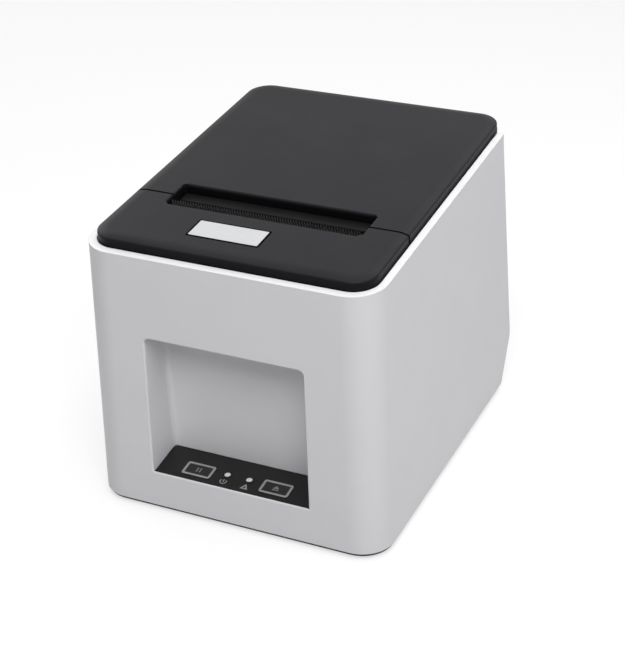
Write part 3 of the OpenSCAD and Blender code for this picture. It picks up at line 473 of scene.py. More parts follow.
@dataclass(frozen=True)
class Rubber(Finish):
    """Ground or moulded elastomer."""

    grain: float = 0.3 * MM
    relief: float = 0.01 * MM
    patch: float = 9 * MM
    bloom: float = 0.35
    dull: float = 0.12

    def dress(self, graph: Graph, shader: Node) -> None:
        """Adds a powdery bloom over a fine texture."""
        grain = LIBRARY.place(graph, Effect.GRAIN, Size=self.grain)
        patches = LIBRARY.place(graph, Effect.SMUDGE, Size=self.patch)["Mask"]
        base = graph.mix(grain["Tone"], self.shade(0.85), self.shade(1.2))
        values = {
            "Base Color": graph.mix(graph.times(patches, self.bloom), base, self.shade(2.2)),
            "Roughness": graph.between(patches, self.roughness, self.roughness + self.dull),
            "Specular IOR Level": 0.3,
        }
        graph.feed(shader, values)
        self.bump(graph, shader, grain["Height"], self.relief)


@dataclass(frozen=True)
class Milky(Finish):
    """Light pipe: a milky plastic."""

    cloud: float = 1.5 * MM
    dull: float = 0.1

    def dress(self, graph: Graph, shader: Node) -> None:
        """Adds cloudy depth and a clear coat."""
        cloud = LIBRARY.place(graph, Effect.SMUDGE, Size=self.cloud)["Mask"]
        values = {
            "Base Color": graph.mix(cloud, self.colour, self.shade(0.9)),
            "Roughness": graph.between(cloud, self.roughness, self.roughness + self.dull),
            "Subsurface Weight": 0.3,
            "Subsurface Radius": mm(1, 1, 1),
            "Coat Weight": 0.4,
            "Coat Roughness": 0.1,
        }
        graph.feed(shader, values)


@dataclass(frozen=True)
class SolderMask(Finish):
    """Circuit board lacquer with copper tracks showing through."""

    density: float = 200.0
    zone: float = 14 * MM
    relief: float = 0.02 * MM
    gloss: float = 0.8

    def dress(self, graph: Graph, shader: Node) -> None:
        """Adds track lines as colour and relief."""
        values = {
            "Vector": graph.add("TexCoord").outputs["Object"],
            "Scale": self.density,
            "Distortion": 1.2,
            "Detail": 1.0,
            "Detail Scale": 0.6,
        }
        tracks = []
        for axis in ("X", "Y"):
            bands = {"wave_type": "BANDS", "bands_direction": axis, "wave_profile": "SAW"}
            wave = graph.add("TexWave", values, **bands)
            tracks.append(graph.span(wave.outputs[1], low=0.72, high=0.76))
        zone = LIBRARY.place(graph, Effect.SMUDGE, Size=self.zone)["Mask"]
        rest = graph.math("SUBTRACT", 1.0, zone)
        both = graph.math("MAXIMUM", graph.times(tracks[0], zone), graph.times(tracks[1], rest))
        colour = graph.mix(both, self.colour, self.shade(1.7))
        rough = graph.between(both, self.roughness, self.roughness * self.gloss)
        graph.feed(shader, {"Base Color": colour, "Roughness": rough})
        self.bump(graph, shader, both, self.relief)


# finishes of this printer
SHELL = Moulded(
    "shell_white", (0.84, 0.835, 0.86), 0.42, relief=0.004 * MM, mottle=0.012, polish=0.05
)
# painted shade darkens the cover's upright skirt (see CrownedCover)
COVER = CrownedCover(
    "cover_charcoal", (0.0118, 0.0115, 0.0135), 0.43,
    # its edges are lightened, partly as wear and partly as painted highlight
    grain=0.32 * MM, relief=0.012 * MM, mottle=0.12, specular=0.1, wear=0.1,
)
FRAME = Moulded("frame_black", (0.007, 0.007, 0.0074), 0.46, mottle=0.12, specular=0.09)
BASE = Moulded(
    "base_black", (0.02, 0.02, 0.021), 0.5, grain=0.5 * MM, relief=0.02 * MM, mottle=0.15
)
REAR = Moulded(
    "panel_charcoal", (0.024, 0.024, 0.026), 0.46, grain=0.4 * MM, relief=0.014 * MM, mottle=0.12
)
KEYS = Moulded(
    "key_black", (0.012, 0.012, 0.013), 0.4, grain=0.25 * MM, mottle=0.15, specular=0.35
)
PANEL = Moulded("key_panel", (0.0072, 0.007, 0.0073), 0.36, mottle=0.15, specular=0.3)
BIN = Moulded("bin_black", (0.02, 0.02, 0.021), 0.34, grain=0.45 * MM)
SOCKET = Moulded("socket_black", (0.015, 0.015, 0.016), 0.38)
SENSOR = Moulded("sensor_black", (0.02, 0.02, 0.022), 0.4)
CHIP = Moulded(
    "chip_black", (0.018, 0.018, 0.019), 0.55, grain=0.2 * MM, relief=0.008 * MM, mottle=0.15
)
ROCKER = Moulded(
    "rocker_black", (0.012, 0.012, 0.013), 0.2, grain=0.6 * MM, relief=0.002 * MM, mottle=0.08
)
SWITCH = Moulded("switch_grey", (0.3, 0.3, 0.31), 0.45, mottle=0.06)
ACETAL = Moulded(
    "gear_acetal", (0.76, 0.74, 0.68), 0.33,
    grain=0.4 * MM, relief=0.003 * MM, mottle=0.03, subsurface=0.15,
)
BUSH = Moulded(
    "bush_acetal", (0.42, 0.38, 0.27), 0.35, grain=0.4 * MM, relief=0.003 * MM, mottle=0.05
)
PLATE = Metal(
    "plate_silver", (0.55, 0.555, 0.565), 0.42,
    line=0.08 * MM, relief=0.001 * MM, tint=0.06, scratch=0.1, metallic=0.3,
)
STEEL_STRIP = Metal("steel_strip", (0.17, 0.17, 0.175), 0.4, line=0.1 * MM, edge=0.0)
SHAFT = Metal("shaft_steel", (0.62, 0.62, 0.63), 0.24, run=Run.NONE)
SPRING = Metal("spring_steel", (0.5, 0.5, 0.51), 0.28, run=Run.NONE)
SCREW = Metal("screw_steel", (0.52, 0.52, 0.54), 0.3, run=Run.NONE)
CHASSIS = Metal("frame_steel", (0.5, 0.51, 0.52), 0.38, run=Run.Z, line=0.25 * MM, tint=0.08)
MOTOR = Metal("motor_can", (0.5, 0.51, 0.53), 0.33, tint=0.08)
HEATSINK = Metal("heatsink_aluminium", (0.3, 0.305, 0.31), 0.48, line=0.15 * MM)
PINION = Metal("pinion_brass", (0.72, 0.55, 0.26), 0.26, line=0.15 * MM)
SHIELD = Metal("socket_steel", (0.6, 0.6, 0.61), 0.3, run=Run.Y)
CERAMIC = Moulded("head_ceramic", (0.34, 0.3, 0.22), 0.3, relief=0.001 * MM, mottle=0.04)
PLATEN = Rubber("platen_rubber", (0.022, 0.022, 0.024), 0.62)
FOOT = Rubber("foot_rubber", (0.02, 0.02, 0.021), 0.7)
LAMP = Milky("light_pipe", (0.66, 0.69, 0.75), 0.28)
BOARD = SolderMask("board_green", (0.012, 0.075, 0.035), 0.3)
PRINT_GREY = Printed("key_print", (0.29, 0.28, 0.265), 0.45)
PRINT_SIGN = Printed("sign_print", (0.2, 0.195, 0.185), 0.45)
PRINT_WHITE = Printed("rocker_print", (0.7, 0.7, 0.7), 0.4, mottle=0.03)
# painted shadow: black sheets where the gaps round the plate and at the covers' seam show only
# shade
GAP_SHADOW = Printed("painted_gap_shadow", (0.0025, 0.0025, 0.0025), 0.6, mottle=0.2, specular=0.0)
TONGUE = Moulded("socket_white", (0.6, 0.6, 0.58), 0.4, mottle=0.04)
HEATER = Moulded(
    "head_glaze", (0.06, 0.035, 0.02), 0.12, grain=0.2 * MM, relief=0.0005 * MM, mottle=0.2
)
GOLD = Metal("contact_gold", (0.8, 0.6, 0.25), 0.25, run=Run.NONE, line=0.1 * MM)
TIN = Metal("solder_tin", (0.6, 0.6, 0.6), 0.3, run=Run.NONE, line=0.1 * MM)


# ---------- mesh building ----------


def show(name: str, source: Any) -> bpy.types.Object:
    """Makes an object and puts it into the scene.

    Args:
        name: the object's name.
        source: its camera or light, or a bmesh, which is used up.

    Returns:
        The new object.
    """
    data = source
    if isinstance(source, bmesh.types.BMesh):
        data = bpy.data.meshes.new(name)
        source.to_mesh(data)
        source.free()
    made = bpy.data.objects.new(name, data)
    bpy.context.scene.collection.objects.link(made)
    return made


class Piece:
    """One new rigid piece: a bmesh that is shaped, then placed and handed to a body."""

    def __init__(self, name: str) -> None:
        """Starts an empty mesh under the piece's name."""
        self.name = name
        self.mesh = bmesh.new()

    def round_off(self, kind: str, geom: list[Any], radius: float, segments: int) -> None:
        """Bevels what is given, EDGES or VERTICES, to a radius."""
        bmesh.ops.bevel(
            self.mesh, geom=geom, offset=radius, segments=segments, profile=0.5, affect=kind,
            material=-1,
        )

    def thicken(self, faces: list[Face], height: float, bar: float) -> None:
        """Gives flat faces, or a bar along their border, a thickness upwards.

        Args:
            faces: the faces.
            height: height of the new wall.
            bar: the bar's width, or 0 for all of the faces.
        """
        bm = self.mesh
        if bar > 0:
            made = bmesh.ops.inset_region(
                bm, faces=faces, thickness=bar, use_even_offset=True, use_boundary=True
            )
            bmesh.ops.delete(bm, geom=faces, context="FACES")
            faces = made["faces"]
        made = bmesh.ops.extrude_face_region(bm, geom=faces)["geom"]
        top = [part for part in made if isinstance(part, Vert)]
        bmesh.ops.translate(bm, vec=(0, 0, height), verts=top)
        bmesh.ops.recalc_face_normals(bm, faces=list(bm.faces))

    def frame(self, size: Sizes, radius: float, bar: float, height: float) -> None:
        """Makes a flat frame with rounded corners.

        Args:
            size: size along x and y.
            radius: corner radius.
            bar: width of the frame's bar.
            height: height above z = 0.
        """
        bm = self.mesh
        corners = bmesh.ops.create_grid(bm, x_segments=1, y_segments=1, size=0.5)["verts"]
        bmesh.ops.scale(bm, vec=(*size, 1.0), verts=corners)
        self.round_off("VERTICES", corners, radius, segments=5)
        self.thicken(list(bm.faces), height, bar)

    def triangle(
        self, half: Sizes, height: float, centre: Sizes = (0, 0, 0), bar: float = 0.0
    ) -> None:
        """Adds a flat triangle that points along y, or a triangular frame.

        Args:
            half: half of its base and half of its size along y.
            height: height above z = 0.
            centre: the middle of its box.
            bar: width of the frame's bar, or 0 for a full triangle.
        """
        # a circle of three sides reaches cos 30 degrees along x, and from -0.5 to 1 along y
        scale = Matrix.Diagonal((half[0] / math.cos(math.radians(30)), half[1] / 0.75, 1, 1))
        place = move(*centre) @ scale @ move(0, -0.25, 0)
        corners = bmesh.ops.create_circle(
            self.mesh, cap_ends=True, segments=3, radius=1.0, matrix=place
        )["verts"]
        self.thicken(list(corners[0].link_faces), height, bar)

    def block(
        self, size: Sizes, centre: Sizes, edge: float = 0.0, segments: int = 2,
        turn: Matrix = Matrix.Identity(4),
    ) -> None:
        """Adds a box with softened edges.

        Args:
            size: full size along x, y, z.
            centre: its middle.
            edge: edge radius.
            segments: faces round each edge.
            turn: rotation applied before it is placed.
        """
        place = move(*centre) @ turn @ Matrix.Diagonal((*size, 1.0))
        corners = bmesh.ops.create_cube(self.mesh, size=1.0, matrix=place)["verts"]
        if edge > 0:
            edges = list({e for corner in corners for e in corner.link_edges})
            self.round_off("EDGES", edges, edge, segments)

    def disc(
        self, radius: float, height: float, centre: Sizes, sides: int, turn: Matrix,
        edge: float = 0.0,
    ) -> None:
        """Adds a round disc or pin standing on its centre.

        Args:
            radius: its radius.
            height: its height.
            centre: middle of its lower face.
            sides: faces round it.
            turn: rotation applied before it is placed.
            edge: radius of both rims.
        """
        made = bmesh.ops.create_cone(
            self.mesh, cap_ends=True, cap_tris=False, segments=sides, radius1=radius,
            radius2=radius, depth=height, matrix=move(*centre) @ turn @ move(0, 0, height / 2),
        )["verts"]
        if edge > 0:
            edges = {e for corner in made for e in corner.link_edges}
            rims = [e for e in edges if any(len(face.verts) > 4 for face in e.link_faces)]
            self.round_off("EDGES", rims, edge, segments=2)

    def ring(
        self, radius: float, bar: float, thickness: float, start: float = 0.0,
        sweep: float = 360.0, centre: Sizes = (0, 0, 0),
    ) -> None:
        """Adds a flat ring or arc by spinning a short bar.

        Args:
            radius: middle radius of the bar.
            bar: the bar's width.
            thickness: height above z = 0.
            start: angle where it begins, in degrees.
            sweep: how far it goes, in degrees.
            centre: the ring's centre.
        """
        bm = self.mesh
        full = sweep >= 360
        first = move(*centre) @ tilt(start, "Z")
        inner, outer = radius - bar / 2, radius + bar / 2
        outline = ((inner, 0), (outer, 0), (outer, thickness), (inner, thickness))
        face = bm.faces.new([bm.verts.new(first @ Vector((x, 0, z))) for x, z in outline])
        section = [*face.edges, *face.verts]
        if full:
            bmesh.ops.delete(bm, geom=[face], context="FACES_ONLY")
        else:
            section.append(face)
        bmesh.ops.spin(
            bm, geom=section, cent=centre, axis=(0, 0, 1), angle=math.radians(sweep),
            steps=int(sweep / SPIN_DEGREES), use_merge=full,
        )
        if full:
            bmesh.ops.remove_doubles(bm, verts=list(bm.verts), dist=MERGE_DISTANCE)
        bmesh.ops.recalc_face_normals(bm, faces=list(bm.faces))

    def raise_rim(
        self, rim: list[Edge], rise: float, narrow: float = 1.0
    ) -> tuple[list[Vert], list[Edge]]:
        """Draws a loop of edges upwards into a wall.

        Args:
            rim: the loop's edges.
            rise: how far up it goes.
            narrow: the new loop's size, 1 for the same.

        Returns:
            The new loop's corners and edges.
        """
        made = bmesh.ops.extrude_edge_only(self.mesh, edges=rim)["geom"]
        corners = [part for part in made if isinstance(part, Vert)]
        edges = [e for e in made if isinstance(e, Edge) and set(e.verts) <= set(corners)]
        bmesh.ops.translate(self.mesh, vec=(0, 0, rise), verts=corners)
        bmesh.ops.scale(self.mesh, vec=(narrow, narrow, 1), verts=corners)
        return corners, edges

    def screw_head(self, radius: float, height: float, place: Matrix) -> None:
        """Adds a rounded screw head with a hexagonal socket.

        Args:
            radius: its radius.
            height: its height.
            place: matrix from the head's seat, which faces up its z axis, to the piece's frame.
        """
        bm = self.mesh
        dome = ((0.5, 1.0), (0.35, 0.9), (0.15, 0.85))  # share of the height, and narrowing
        floor, across = 0.5 * height, 0.48 * radius  # of the socket
        whole = bmesh.ops.create_circle(bm, cap_ends=True, segments=20, radius=radius)["verts"]
        rim = list({e for corner in whole for e in corner.link_edges})
        for rise, narrow in dome:
            corners, rim = self.raise_rim(rim, rise * height, narrow)
            whole += corners
        socket = bmesh.ops.create_circle(
            bm, cap_ends=True, segments=6, radius=across, matrix=move(0, 0, floor)
        )["verts"]
        mouth = list({e for corner in socket for e in corner.link_edges})
        corners, lip = self.raise_rim(mouth, height - floor)
        whole += socket + corners
        bmesh.ops.bridge_loops(bm, edges=rim + lip)
        faces = list({face for corner in whole for face in corner.link_faces})
        bmesh.ops.recalc_face_normals(bm, faces=faces)
        bmesh.ops.transform(bm, matrix=place, verts=whole)

    def draw(self, symbol: Symbol, half: float, height: float) -> None:
        """Draws one sign about the origin.

        Args:
            symbol: which sign.
            half: half of its size, which all its strokes are shares of.
            height: height above z = 0.
        """
        tall, bar = 2 * half, 0.3 * half
        if symbol is Symbol.PAUSE:
            for side in SIDES:
                self.block((bar * 1.4, tall * 0.9, height), (side * half * 0.5, 0, height / 2))
        elif symbol is Symbol.FEED:
            self.triangle((half, half * 0.6), height, centre=(0, half * 0.4, 0))
            self.block((tall, bar * 1.2, height), (0, -half * 0.72, height / 2))
        elif symbol is Symbol.POWER:
            self.ring(half - bar / 2, bar, height, start=142, sweep=256)
            self.block((bar, half * 0.95, height), (0, half * 0.28, height / 2))
        elif symbol is Symbol.ALERT:
            self.triangle((half * 1.1, half), height, bar=bar * 1.35)
        elif symbol is Symbol.LINE:
            self.block((bar, tall, height), (0, 0, height / 2))
        else:
            self.ring(half * 0.8, bar, height)

    def finish(self, body: str, finish: Finish, place: Matrix) -> bpy.types.Object:
        """Turns the bmesh into an object that rides a body.

        Args:
            body: the CAD body it moves with.
            finish: its finish.
            place: matrix from the piece's frame to the row frame.

        Returns:
            The new object.
        """
        bmesh.ops.transform(self.mesh, matrix=place, verts=list(self.mesh.verts))
        made = show(self.name, self.mesh)
        data = made.data
        data.polygons.foreach_set("use_smooth", [True] * len(data.polygons))
        data.set_sharp_from_angle(angle=math.radians(SMOOTH_DEGREES))
        data.materials.append(finish.material())
        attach(made, body)
        LOG.info("%s: %d faces on %s", self.name, len(data.polygons), body)
        return made


# ---------- the printer's frames ----------


@dataclass(frozen=True)
class CaseFrame:
    """Places on the case, as the part's source defines them, in metres and degrees."""

    mid: float = 83.6 * MM
    rim_height: float = 123.2 * MM
    rim_slope: float = 4.0
    panel_x: float = -1.0 * MM
    panel_z: float = 20.0 * MM
    panel_tilt: float = 6.5
    board_top: float = 13.6 * MM

    def seat(self) -> Matrix:
        """Returns the matrix from case coordinates to the row frame."""
        return move(0, -self.mid, 0)

    def rim(self) -> Matrix:
        """Returns the matrix of the tilted rim plane."""
        return self.seat() @ move(0, 0, self.rim_height) @ tilt(self.rim_slope, "X")

    def socket(self, across: float) -> Matrix:
        """Returns the matrix of a socket's foot on the main board, its mouth towards +y."""
        return self.seat() @ move(across, 0, self.board_top)

    def panel(self) -> Matrix:
        """Returns the matrix of the key panel's face."""
        return self.seat() @ move(self.panel_x, 0, self.panel_z) @ tilt(self.panel_tilt, "X")


CASE = CaseFrame()


# ---------- sub-assemblies ----------


class Assembly:
    """A sub-assembly: the finishes that its CAD nodes wear, and small pieces of its own."""

    wears: ClassVar[dict[str, Finish]] = {}

    def build(self) -> None:
        """Dresses the CAD nodes and adds the pieces."""
        for node, finish in self.wears.items():
            materials = bpy.data.objects[node].data.materials
            if not materials:
                materials.append(finish.material())
            for index in range(len(materials)):
                materials[index] = finish.material()
            LOG.info("%s wears %s", node, finish.name)
        self.add_pieces()

    def add_pieces(self) -> None:
        """Adds the sub-assembly's own pieces, if it has any."""


@dataclass
class Housing(Assembly):
    """Outer shell, base, rear panel and feet."""

    wears = {
        "outer_shell": SHELL, "base_case": BASE, "rear_panel": REAR, "rubber_feet": FOOT,
        "base_screws": SCREW,
    }


@dataclass
class Covers(Assembly):
    """Front cover with its plate and tear bar, and the paper cover with its frame."""

    wears = {
        "front_cover": COVER, "paper_cover": COVER, "cover_frame": FRAME, "name_plate": PLATE,
        "hinge_pins": SHAFT,
    }
    screw_reach: float = 52 * MM
    screw_rows: Sizes = mm(66, 138)
    screw_size: Sizes = mm(2.4, 1.4)
    deck_low: float = -2.6 * MM
    plate_size: Sizes = mm(32.9, 13.8)
    plate_place: Sizes = mm(-6.8, 22.8, 4.86)
    plate_radius: float = 0.8 * MM
    border: Sizes = mm(0.95, 0.03)
    blade_width: float = 86.6 * MM
    blade_thick: float = 0.8 * MM
    blade_back: float = 41.81 * MM
    blade_low: float = -4.5 * MM
    blade_top: float = 4.75 * MM
    tooth_depth: float = 2.1 * MM
    tooth_pitch: float = 1.22 * MM
    tooth_share: float = 0.84
    # painted shadow: the black strip lies where the seam between the covers shows only shade
    seal_outline: tuple[Sizes, ...] = (
        mm(44.9, 4.85), mm(57.4, 4.85), mm(59.2, 4.7), mm(60.6, 4.37),
        mm(61.6, 4.03), mm(62.12, 3.62), mm(62.34, 2.9), mm(62.34, 0.6),
    )
    seal_size: Sizes = mm(0.87, 0.12)
    seal_along: float = 45.98 * MM

    def add_pieces(self) -> None:
        """Adds the frame's screws, painted shadow round the plate and at the seam, and the blade.
        """
        screws = Piece("cover_frame_screws")
        for row in self.screw_rows:
            for side in SIDES:
                seat = move(side * self.screw_reach, row, self.deck_low) @ tilt(180, "X")
                screws.screw_head(*self.screw_size, seat)
        screws.finish("cover", SCREW, CASE.rim())
        # painted shadow: a black border where the gap round the plate shows only shade
        border = Piece("plate_painted_shadow")
        border.frame(self.plate_size, self.plate_radius, *self.border)
        border.finish("case", GAP_SHADOW, CASE.rim() @ move(*self.plate_place))
        self.add_seal()
        self.add_blade()

    def add_seal(self) -> None:
        """Lays painted shadow, a black strip, over the front cover's edge at the seam by the exit.
        """
        seam_shadow = Piece("seam_painted_shadow")
        width, thick = self.seal_size
        for side in SIDES:
            for first, second in zip(self.seal_outline, self.seal_outline[1:]):
                start, end = (Vector((side * x, 0, z)) for x, z in (first, second))
                run, middle = end - start, (start + end) / 2
                turn = Matrix.Rotation(-math.atan2(run.z, run.x), 4, "Y")
                size = (run.length + thick / 2, width, thick)
                seam_shadow.block(size, (middle.x, self.seal_along, middle.z), turn=turn)
        seam_shadow.finish("case", GAP_SHADOW, CASE.rim())

    def add_blade(self) -> None:
        """Builds the tear bar's blade with its row of teeth, which replaces tear_bar."""
        teeth = round(self.blade_width / self.tooth_pitch)
        root = self.blade_top - self.tooth_depth
        size = (self.blade_width, root - self.blade_low, self.blade_thick)
        blade = Piece("tear_blade")
        blade.block(size, (0, (root + self.blade_low) / 2, self.blade_thick / 2))
        half = (self.tooth_pitch * self.tooth_share / 2, self.tooth_depth / 2)
        for place in range(teeth):
            across = (place - (teeth - 1) / 2) * self.tooth_pitch
            blade.triangle(half, self.blade_thick, centre=(across, root + half[1], 0))
        upright = move(0, self.blade_back, 0) @ tilt(90, "X")
        made = blade.finish("case", STEEL_STRIP, CASE.rim() @ upright)
        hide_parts("tear_bar")


@dataclass
class KeyPanel(Assembly):
    """Keys, their printed frames and signs, and the status lights."""

    wears = {
        "control_panel": PANEL, "pause_key": KEYS, "feed_key": KEYS, "light_pipes": LAMP,
        "key_board": BOARD, "key_switches": SWITCH,
    }
    layout_x: float = -0.1 * MM
    key_reach: float = 18.45 * MM
    key_along: float = 7.6 * MM
    key_size: Sizes = mm(13.8, 8.3)
    key_face: float = 0.15 * MM
    key_sign: float = 1.5 * MM
    frame_bar: float = 1.1 * MM
    frame_radius: float = 1.2 * MM
    print_height: float = 0.03 * MM
    print_inset: float = 0.08 * MM
    lamp_reach: float = 5.2 * MM
    lamp_along: float = 8.8 * MM
    lamp_sign: float = 1.65 * MM
    sign_along: float = 4.5 * MM
    bezel: Sizes = mm(1.6, 0.4, 0.3)

    def at(self, across: float, along: float, up: float = 0.0) -> Matrix:
        """Returns the matrix of a place on the key panel."""
        return CASE.panel() @ move(self.layout_x + across, along, up)

    def add_pieces(self) -> None:
        """Prints the frames and signs and sets the bezels round the lights."""
        size = tuple(length - 2 * self.print_inset for length in self.key_size)
        keys = (("pause_button", Symbol.PAUSE), ("feed_button", Symbol.FEED))
        for side, (body, symbol) in zip(SIDES, keys):
            place = self.at(side * self.key_reach, self.key_along, self.key_face)
            frame = Piece(f"{symbol.value}_key_frame")
            frame.frame(size, self.frame_radius, self.frame_bar, self.print_height)
            frame.finish(body, PRINT_GREY, place)
            sign = Piece(f"{symbol.value}_sign")
            sign.draw(symbol, self.key_sign, self.print_height)
            sign.finish(body, PRINT_SIGN, place)
        for side, symbol in zip(SIDES, (Symbol.POWER, Symbol.ALERT)):
            sign = Piece(f"{symbol.value}_sign")
            sign.draw(symbol, self.lamp_sign, self.print_height)
            sign.finish("case", PRINT_GREY, self.at(side * self.lamp_reach, self.sign_along))
        rings = Piece("lamp_bezels")
        for side in SIDES:
            rings.ring(*self.bezel, centre=(side * self.lamp_reach, 0, 0))
        rings.finish("case", PANEL, self.at(0, self.lamp_along))


@dataclass
class PrintMechanism(Assembly):
    """Platen, gears, motor, head and their frame."""

    wears = {
        "platen_roller": PLATEN, "platen_shaft": SHAFT, "platen_gear": ACETAL,
        "platen_bushes": BUSH, "reduction_gear": ACETAL, "gear_post": SHAFT,
        "motor_pinion": PINION, "feed_motor": MOTOR, "mechanism_frame": CHASSIS,
        "print_head": CERAMIC, "head_heatsink": HEATSINK, "head_pin": SHAFT,
        "head_springs": SPRING, "frame_screws": SCREW,
    }
    head_face: float = 46.4 * MM
    print_line: float = 112.0 * MM
    heater_size: Sizes = mm(80, 0.03, 0.45)
    driver_size: Sizes = mm(62, 0.9, 2.6)
    driver_sink: float = 0.2 * MM
    driver_drop: float = 5.4 * MM
    driver_edge: float = 0.42 * MM
    ear_face: float = 43.0 * MM
    ears: tuple[Sizes, ...] = (mm(55.13, 92.98), mm(36.87, 71.22))
    screw_size: Sizes = mm(2.05, 1.3)

    def add_pieces(self) -> None:
        """Adds the heater line, the bead over the head's drivers and the motor's screws."""
        heater = Piece("heater_line")
        heater.block(self.heater_size, (0, self.head_face, self.print_line))
        heater.finish("head", HEATER, CASE.seat())
        middle = (0, self.head_face - self.driver_sink, self.print_line - self.driver_drop)
        bead = Piece("head_driver_bead")
        bead.block(self.driver_size, middle, self.driver_edge, segments=4)
        bead.finish("head", CHIP, CASE.seat())
        screws = Piece("motor_screws")
        for ear in self.ears:
            screws.screw_head(*self.screw_size, move(self.ear_face, *ear) @ tilt(-90, "Y"))
        screws.finish("case", SCREW, CASE.seat())


@dataclass
class PaperBay(Assembly):
    """Paper compartment and its sensor."""

    wears = {"paper_bin": BIN, "paper_sensor": SENSOR}


@dataclass
class Electronics(Assembly):
    """Main board, its parts, the sockets and the power rocker."""

    wears = {
        "main_board": BOARD, "board_chips": CHIP, "power_inlet": SOCKET, "usb_socket": SHIELD,
        "drawer_socket": SOCKET, "rocker_housing": SOCKET, "power_rocker": ROCKER,
    }
    inlet_x: float = -36.0 * MM
    usb_x: float = -6.0 * MM
    drawer_x: float = 24.0 * MM
    screw_reach: float = 33 * MM
    screw_rows: Sizes = mm(70, 128)
    screw_size: Sizes = mm(2.3, 1.3)
    tongue_size: Sizes = mm(5.9, 10.1, 3.1)
    tongue_place: Sizes = mm(0, 143.05, 5.5)
    tongue_edge: float = 0.25 * MM
    strip_size: Sizes = mm(1.0, 7.4, 0.12)
    strip_reach: Sizes = mm(1.3, 1.57)
    strip_along: float = 143.6 * MM
    strip_edge: float = 0.03 * MM
    pin_size: Sizes = mm(1.04, 10.5)
    pin_place: Sizes = mm(0, 138, 5.4)
    pin_edge: float = 0.4 * MM
    wire_count: int = 6
    wire_pitch: float = 1.27 * MM
    wire_size: Sizes = mm(0.22, 7.6)
    wire_place: Sizes = mm(141.2, 9.3)
    wire_lean: float = -104.0
    foot_size: Sizes = mm(0.34, 3.4, 0.1)
    foot_place: Sizes = mm(139.7, 9.5)
    rocker_pivot: Sizes = mm(-49.0, 75.834, 45.473)
    rocker_lean: float = 7.683
    rocker_turn: float = 8.0
    rocker_hollow: float = 15.0 * MM
    rocker_centre: float = 17.8 * MM
    mark_reach: float = 3.9 * MM
    mark_half: float = 1.5 * MM
    mark_height: float = 0.1 * MM
    mark_lift: float = 0.02 * MM

    def add_pieces(self) -> None:
        """Adds the sockets' contacts, the rocker's marks and the board's screws."""
        self.add_usb()
        pin = Piece("inlet_pin")
        pin.disc(*self.pin_size, self.pin_place, 20, tilt(-90, "X"), self.pin_edge)
        pin.finish("case", TIN, CASE.socket(self.inlet_x))
        self.add_wires()
        self.add_marks()
        screws = Piece("board_screws")
        for row in self.screw_rows:
            for side in SIDES:
                seat = move(side * self.screw_reach, row, CASE.board_top)
                screws.screw_head(*self.screw_size, seat)
        screws.finish("case", SCREW, CASE.seat())

    def add_usb(self) -> None:
        """Puts the tongue and its four contacts into the data socket."""
        tongue = Piece("usb_tongue")
        tongue.block(self.tongue_size, self.tongue_place, self.tongue_edge)
        tongue.finish("case", TONGUE, CASE.socket(self.usb_x))
        strips = Piece("usb_contacts")
        across, up = self.strip_reach
        for side in SIDES:
            for level in SIDES:
                centre = (side * across, self.strip_along, self.tongue_place[2] + level * up)
                strips.block(self.strip_size, centre, self.strip_edge, segments=1)
        strips.finish("case", GOLD, CASE.socket(self.usb_x))

    def add_wires(self) -> None:
        """Puts the row of sprung wires and their feet into the drawer socket."""
        wires = Piece("drawer_contacts")
        lean = tilt(self.wire_lean, "X")
        for place in range(self.wire_count):
            across = (place - (self.wire_count - 1) / 2) * self.wire_pitch
            wires.disc(*self.wire_size, (across, *self.wire_place), 8, lean)
            wires.block(self.foot_size, (across, *self.foot_place))
        wires.finish("case", GOLD, CASE.socket(self.drawer_x))

    def add_marks(self) -> None:
        """Puts the ON and OFF marks in the rocker's hollow face."""
        pivot = move(*self.rocker_pivot) @ tilt(self.rocker_lean, "X")
        pivot = pivot @ tilt(self.rocker_turn, "Z") @ move(0, self.rocker_centre, 0)
        outwards = move(0, -self.rocker_hollow - self.mark_lift, 0) @ tilt(180, "Z") @ tilt(90, "X")
        for side, symbol in zip(SIDES, (Symbol.LINE, Symbol.RING)):
            swing = Matrix.Rotation(math.asin(side * self.mark_reach / self.rocker_hollow), 4, "Z")
            mark = Piece(f"rocker_{symbol.value}_mark")
            mark.draw(symbol, self.mark_half, self.mark_height)
            mark.finish("rocker", PRINT_WHITE, pivot @ swing @ outwards)


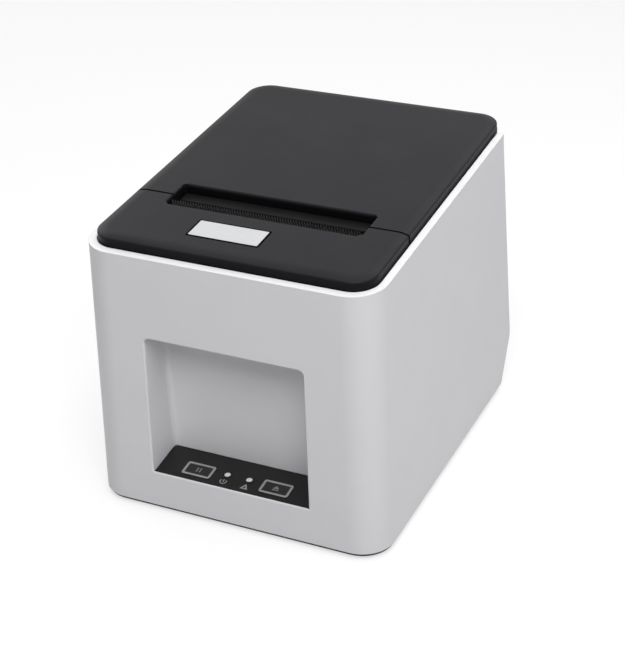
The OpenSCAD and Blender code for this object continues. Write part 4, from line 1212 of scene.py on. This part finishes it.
@dataclass
class Studio:
    """Camera, floor, lamps and world."""

    eye: Sizes = (0.268325, -0.570889, 0.402702)
    yaw: float = 25.096
    pitch: float = 28.628
    roll: float = -1.546
    focal: float = 1582.0
    sensor: float = 36.0
    frame: tuple[int, int] = (625, 649)
    centre: Sizes = (312.77, 323.69)
    clip: Sizes = (0.01, 50.0)
    ambient: float = 0.06
    floor_radius: float = 4.0
    floor_sides: int = 64
    floor_grey: float = 0.40
    floor_glow: float = 0.62
    target: Sizes = (0.0, 0.0, 0.08)
    lamps: tuple[tuple[str, Sizes, float, float], ...] = (
        ("top_lamp", (0.0, 0.2, 1.3), 1.0, 4.8),
        ("front_lamp", (0.35, -0.75, 1.2), 0.8, 14.0),
        ("right_lamp", (0.62, -0.05, 0.66), 0.45, 1.45),
        ("rear_lamp", (0.2, 1.1, 1.2), 0.8, 3.5),
        ("left_lamp", (-1.1, 0.55, 0.8), 0.8, 3.6),
    )

    def add_camera(self) -> None:
        """Places the camera."""
        data = bpy.data.cameras.new("camera")
        made = show("camera", data)
        turn = tilt(self.yaw, "Z") @ tilt(90 - self.pitch, "X") @ tilt(self.roll, "Z")
        made.matrix_world = move(*self.eye) @ turn
        width, height = self.frame
        longer = max(width, height)
        data.sensor_fit = "AUTO"
        data.sensor_width = self.sensor
        data.lens = self.focal * self.sensor / longer
        data.shift_x = (width / 2 - self.centre[0]) / longer
        data.shift_y = (self.centre[1] - height / 2) / longer
        data.clip_start, data.clip_end = self.clip
        bpy.context.scene.camera = made

    def add_floor(self) -> None:
        """Lays the pale floor, which shows near white and keeps the object's shadow."""
        bm = bmesh.new()
        bmesh.ops.create_circle(
            bm, cap_ends=True, segments=self.floor_sides, radius=self.floor_radius
        )
        made = show("floor", bm)
        material = bpy.data.materials.new("floor_pale")
        material.use_nodes = True
        graph = Graph(material.node_tree)
        matte = graph.add("BsdfDiffuse", {"Color": (*[self.floor_grey] * 3, 1.0)}).outputs[0]
        glow = graph.add("Emission", {"Color": WHITE, "Strength": self.floor_glow}).outputs[0]
        both = graph.add("AddShader", {0: matte, 1: glow}).outputs[0]
        choose = graph.add("MixShader", {0: graph.seen(), 1: matte, 2: both})
        graph.add("OutputMaterial", {0: choose.outputs[0]})
        made.data.materials.append(material)

    def set_world(self) -> None:
        """Sets an even soft light, white where the camera or a reflection looks at it."""
        world = bpy.data.worlds.new("studio")
        world.use_nodes = True
        graph = Graph(world.node_tree)
        strength = graph.between(graph.seen(), self.ambient, 1.0)
        background = graph.add("Background", {"Color": WHITE, "Strength": strength})
        graph.add("OutputWorld", {0: background.outputs[0]})
        bpy.context.scene.world = world

    def add_lamp(self, name: str, place: Sizes, size: float, power: float) -> None:
        """Adds one square soft lamp that faces the target.

        Args:
            name: the lamp's name.
            place: where it hangs.
            size: its width.
            power: its power in watts.
        """
        data = bpy.data.lights.new(name, "AREA")
        data.shape = "SQUARE"
        data.size = size
        data.energy = power
        facing = (Vector(self.target) - Vector(place)).to_track_quat("-Z", "Y")
        show(name, data).matrix_world = move(*place) @ facing.to_matrix().to_4x4()

    def build(self) -> None:
        """Sets up the whole studio."""
        self.add_camera()
        self.add_floor()
        self.set_world()
        for lamp in self.lamps:
            self.add_lamp(*lamp)
        bpy.context.scene.view_settings.view_transform = "Standard"


def corners(bounds: Iterable[Vector]) -> list[list[float]]:
    """Returns a box's corners as plain lists."""
    return [[round(value, SIZE_DIGITS) for value in corner] for corner in bounds]


def main() -> None:
    """Builds the printer's looks in order."""
    logging.basicConfig(level=logging.INFO, format="%(message)s")
    for found in list(bpy.data.objects):
        bpy.data.objects.remove(found)
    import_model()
    for plain in list(bpy.data.materials):
        bpy.data.materials.remove(plain)
    for part in (
        Studio(), Housing(), Covers(), KeyPanel(), PrintMechanism(), PaperBay(), Electronics()
    ):
        LOG.info("building %s", type(part).__name__)
        part.build()


if __name__ == "__main__":
    main()
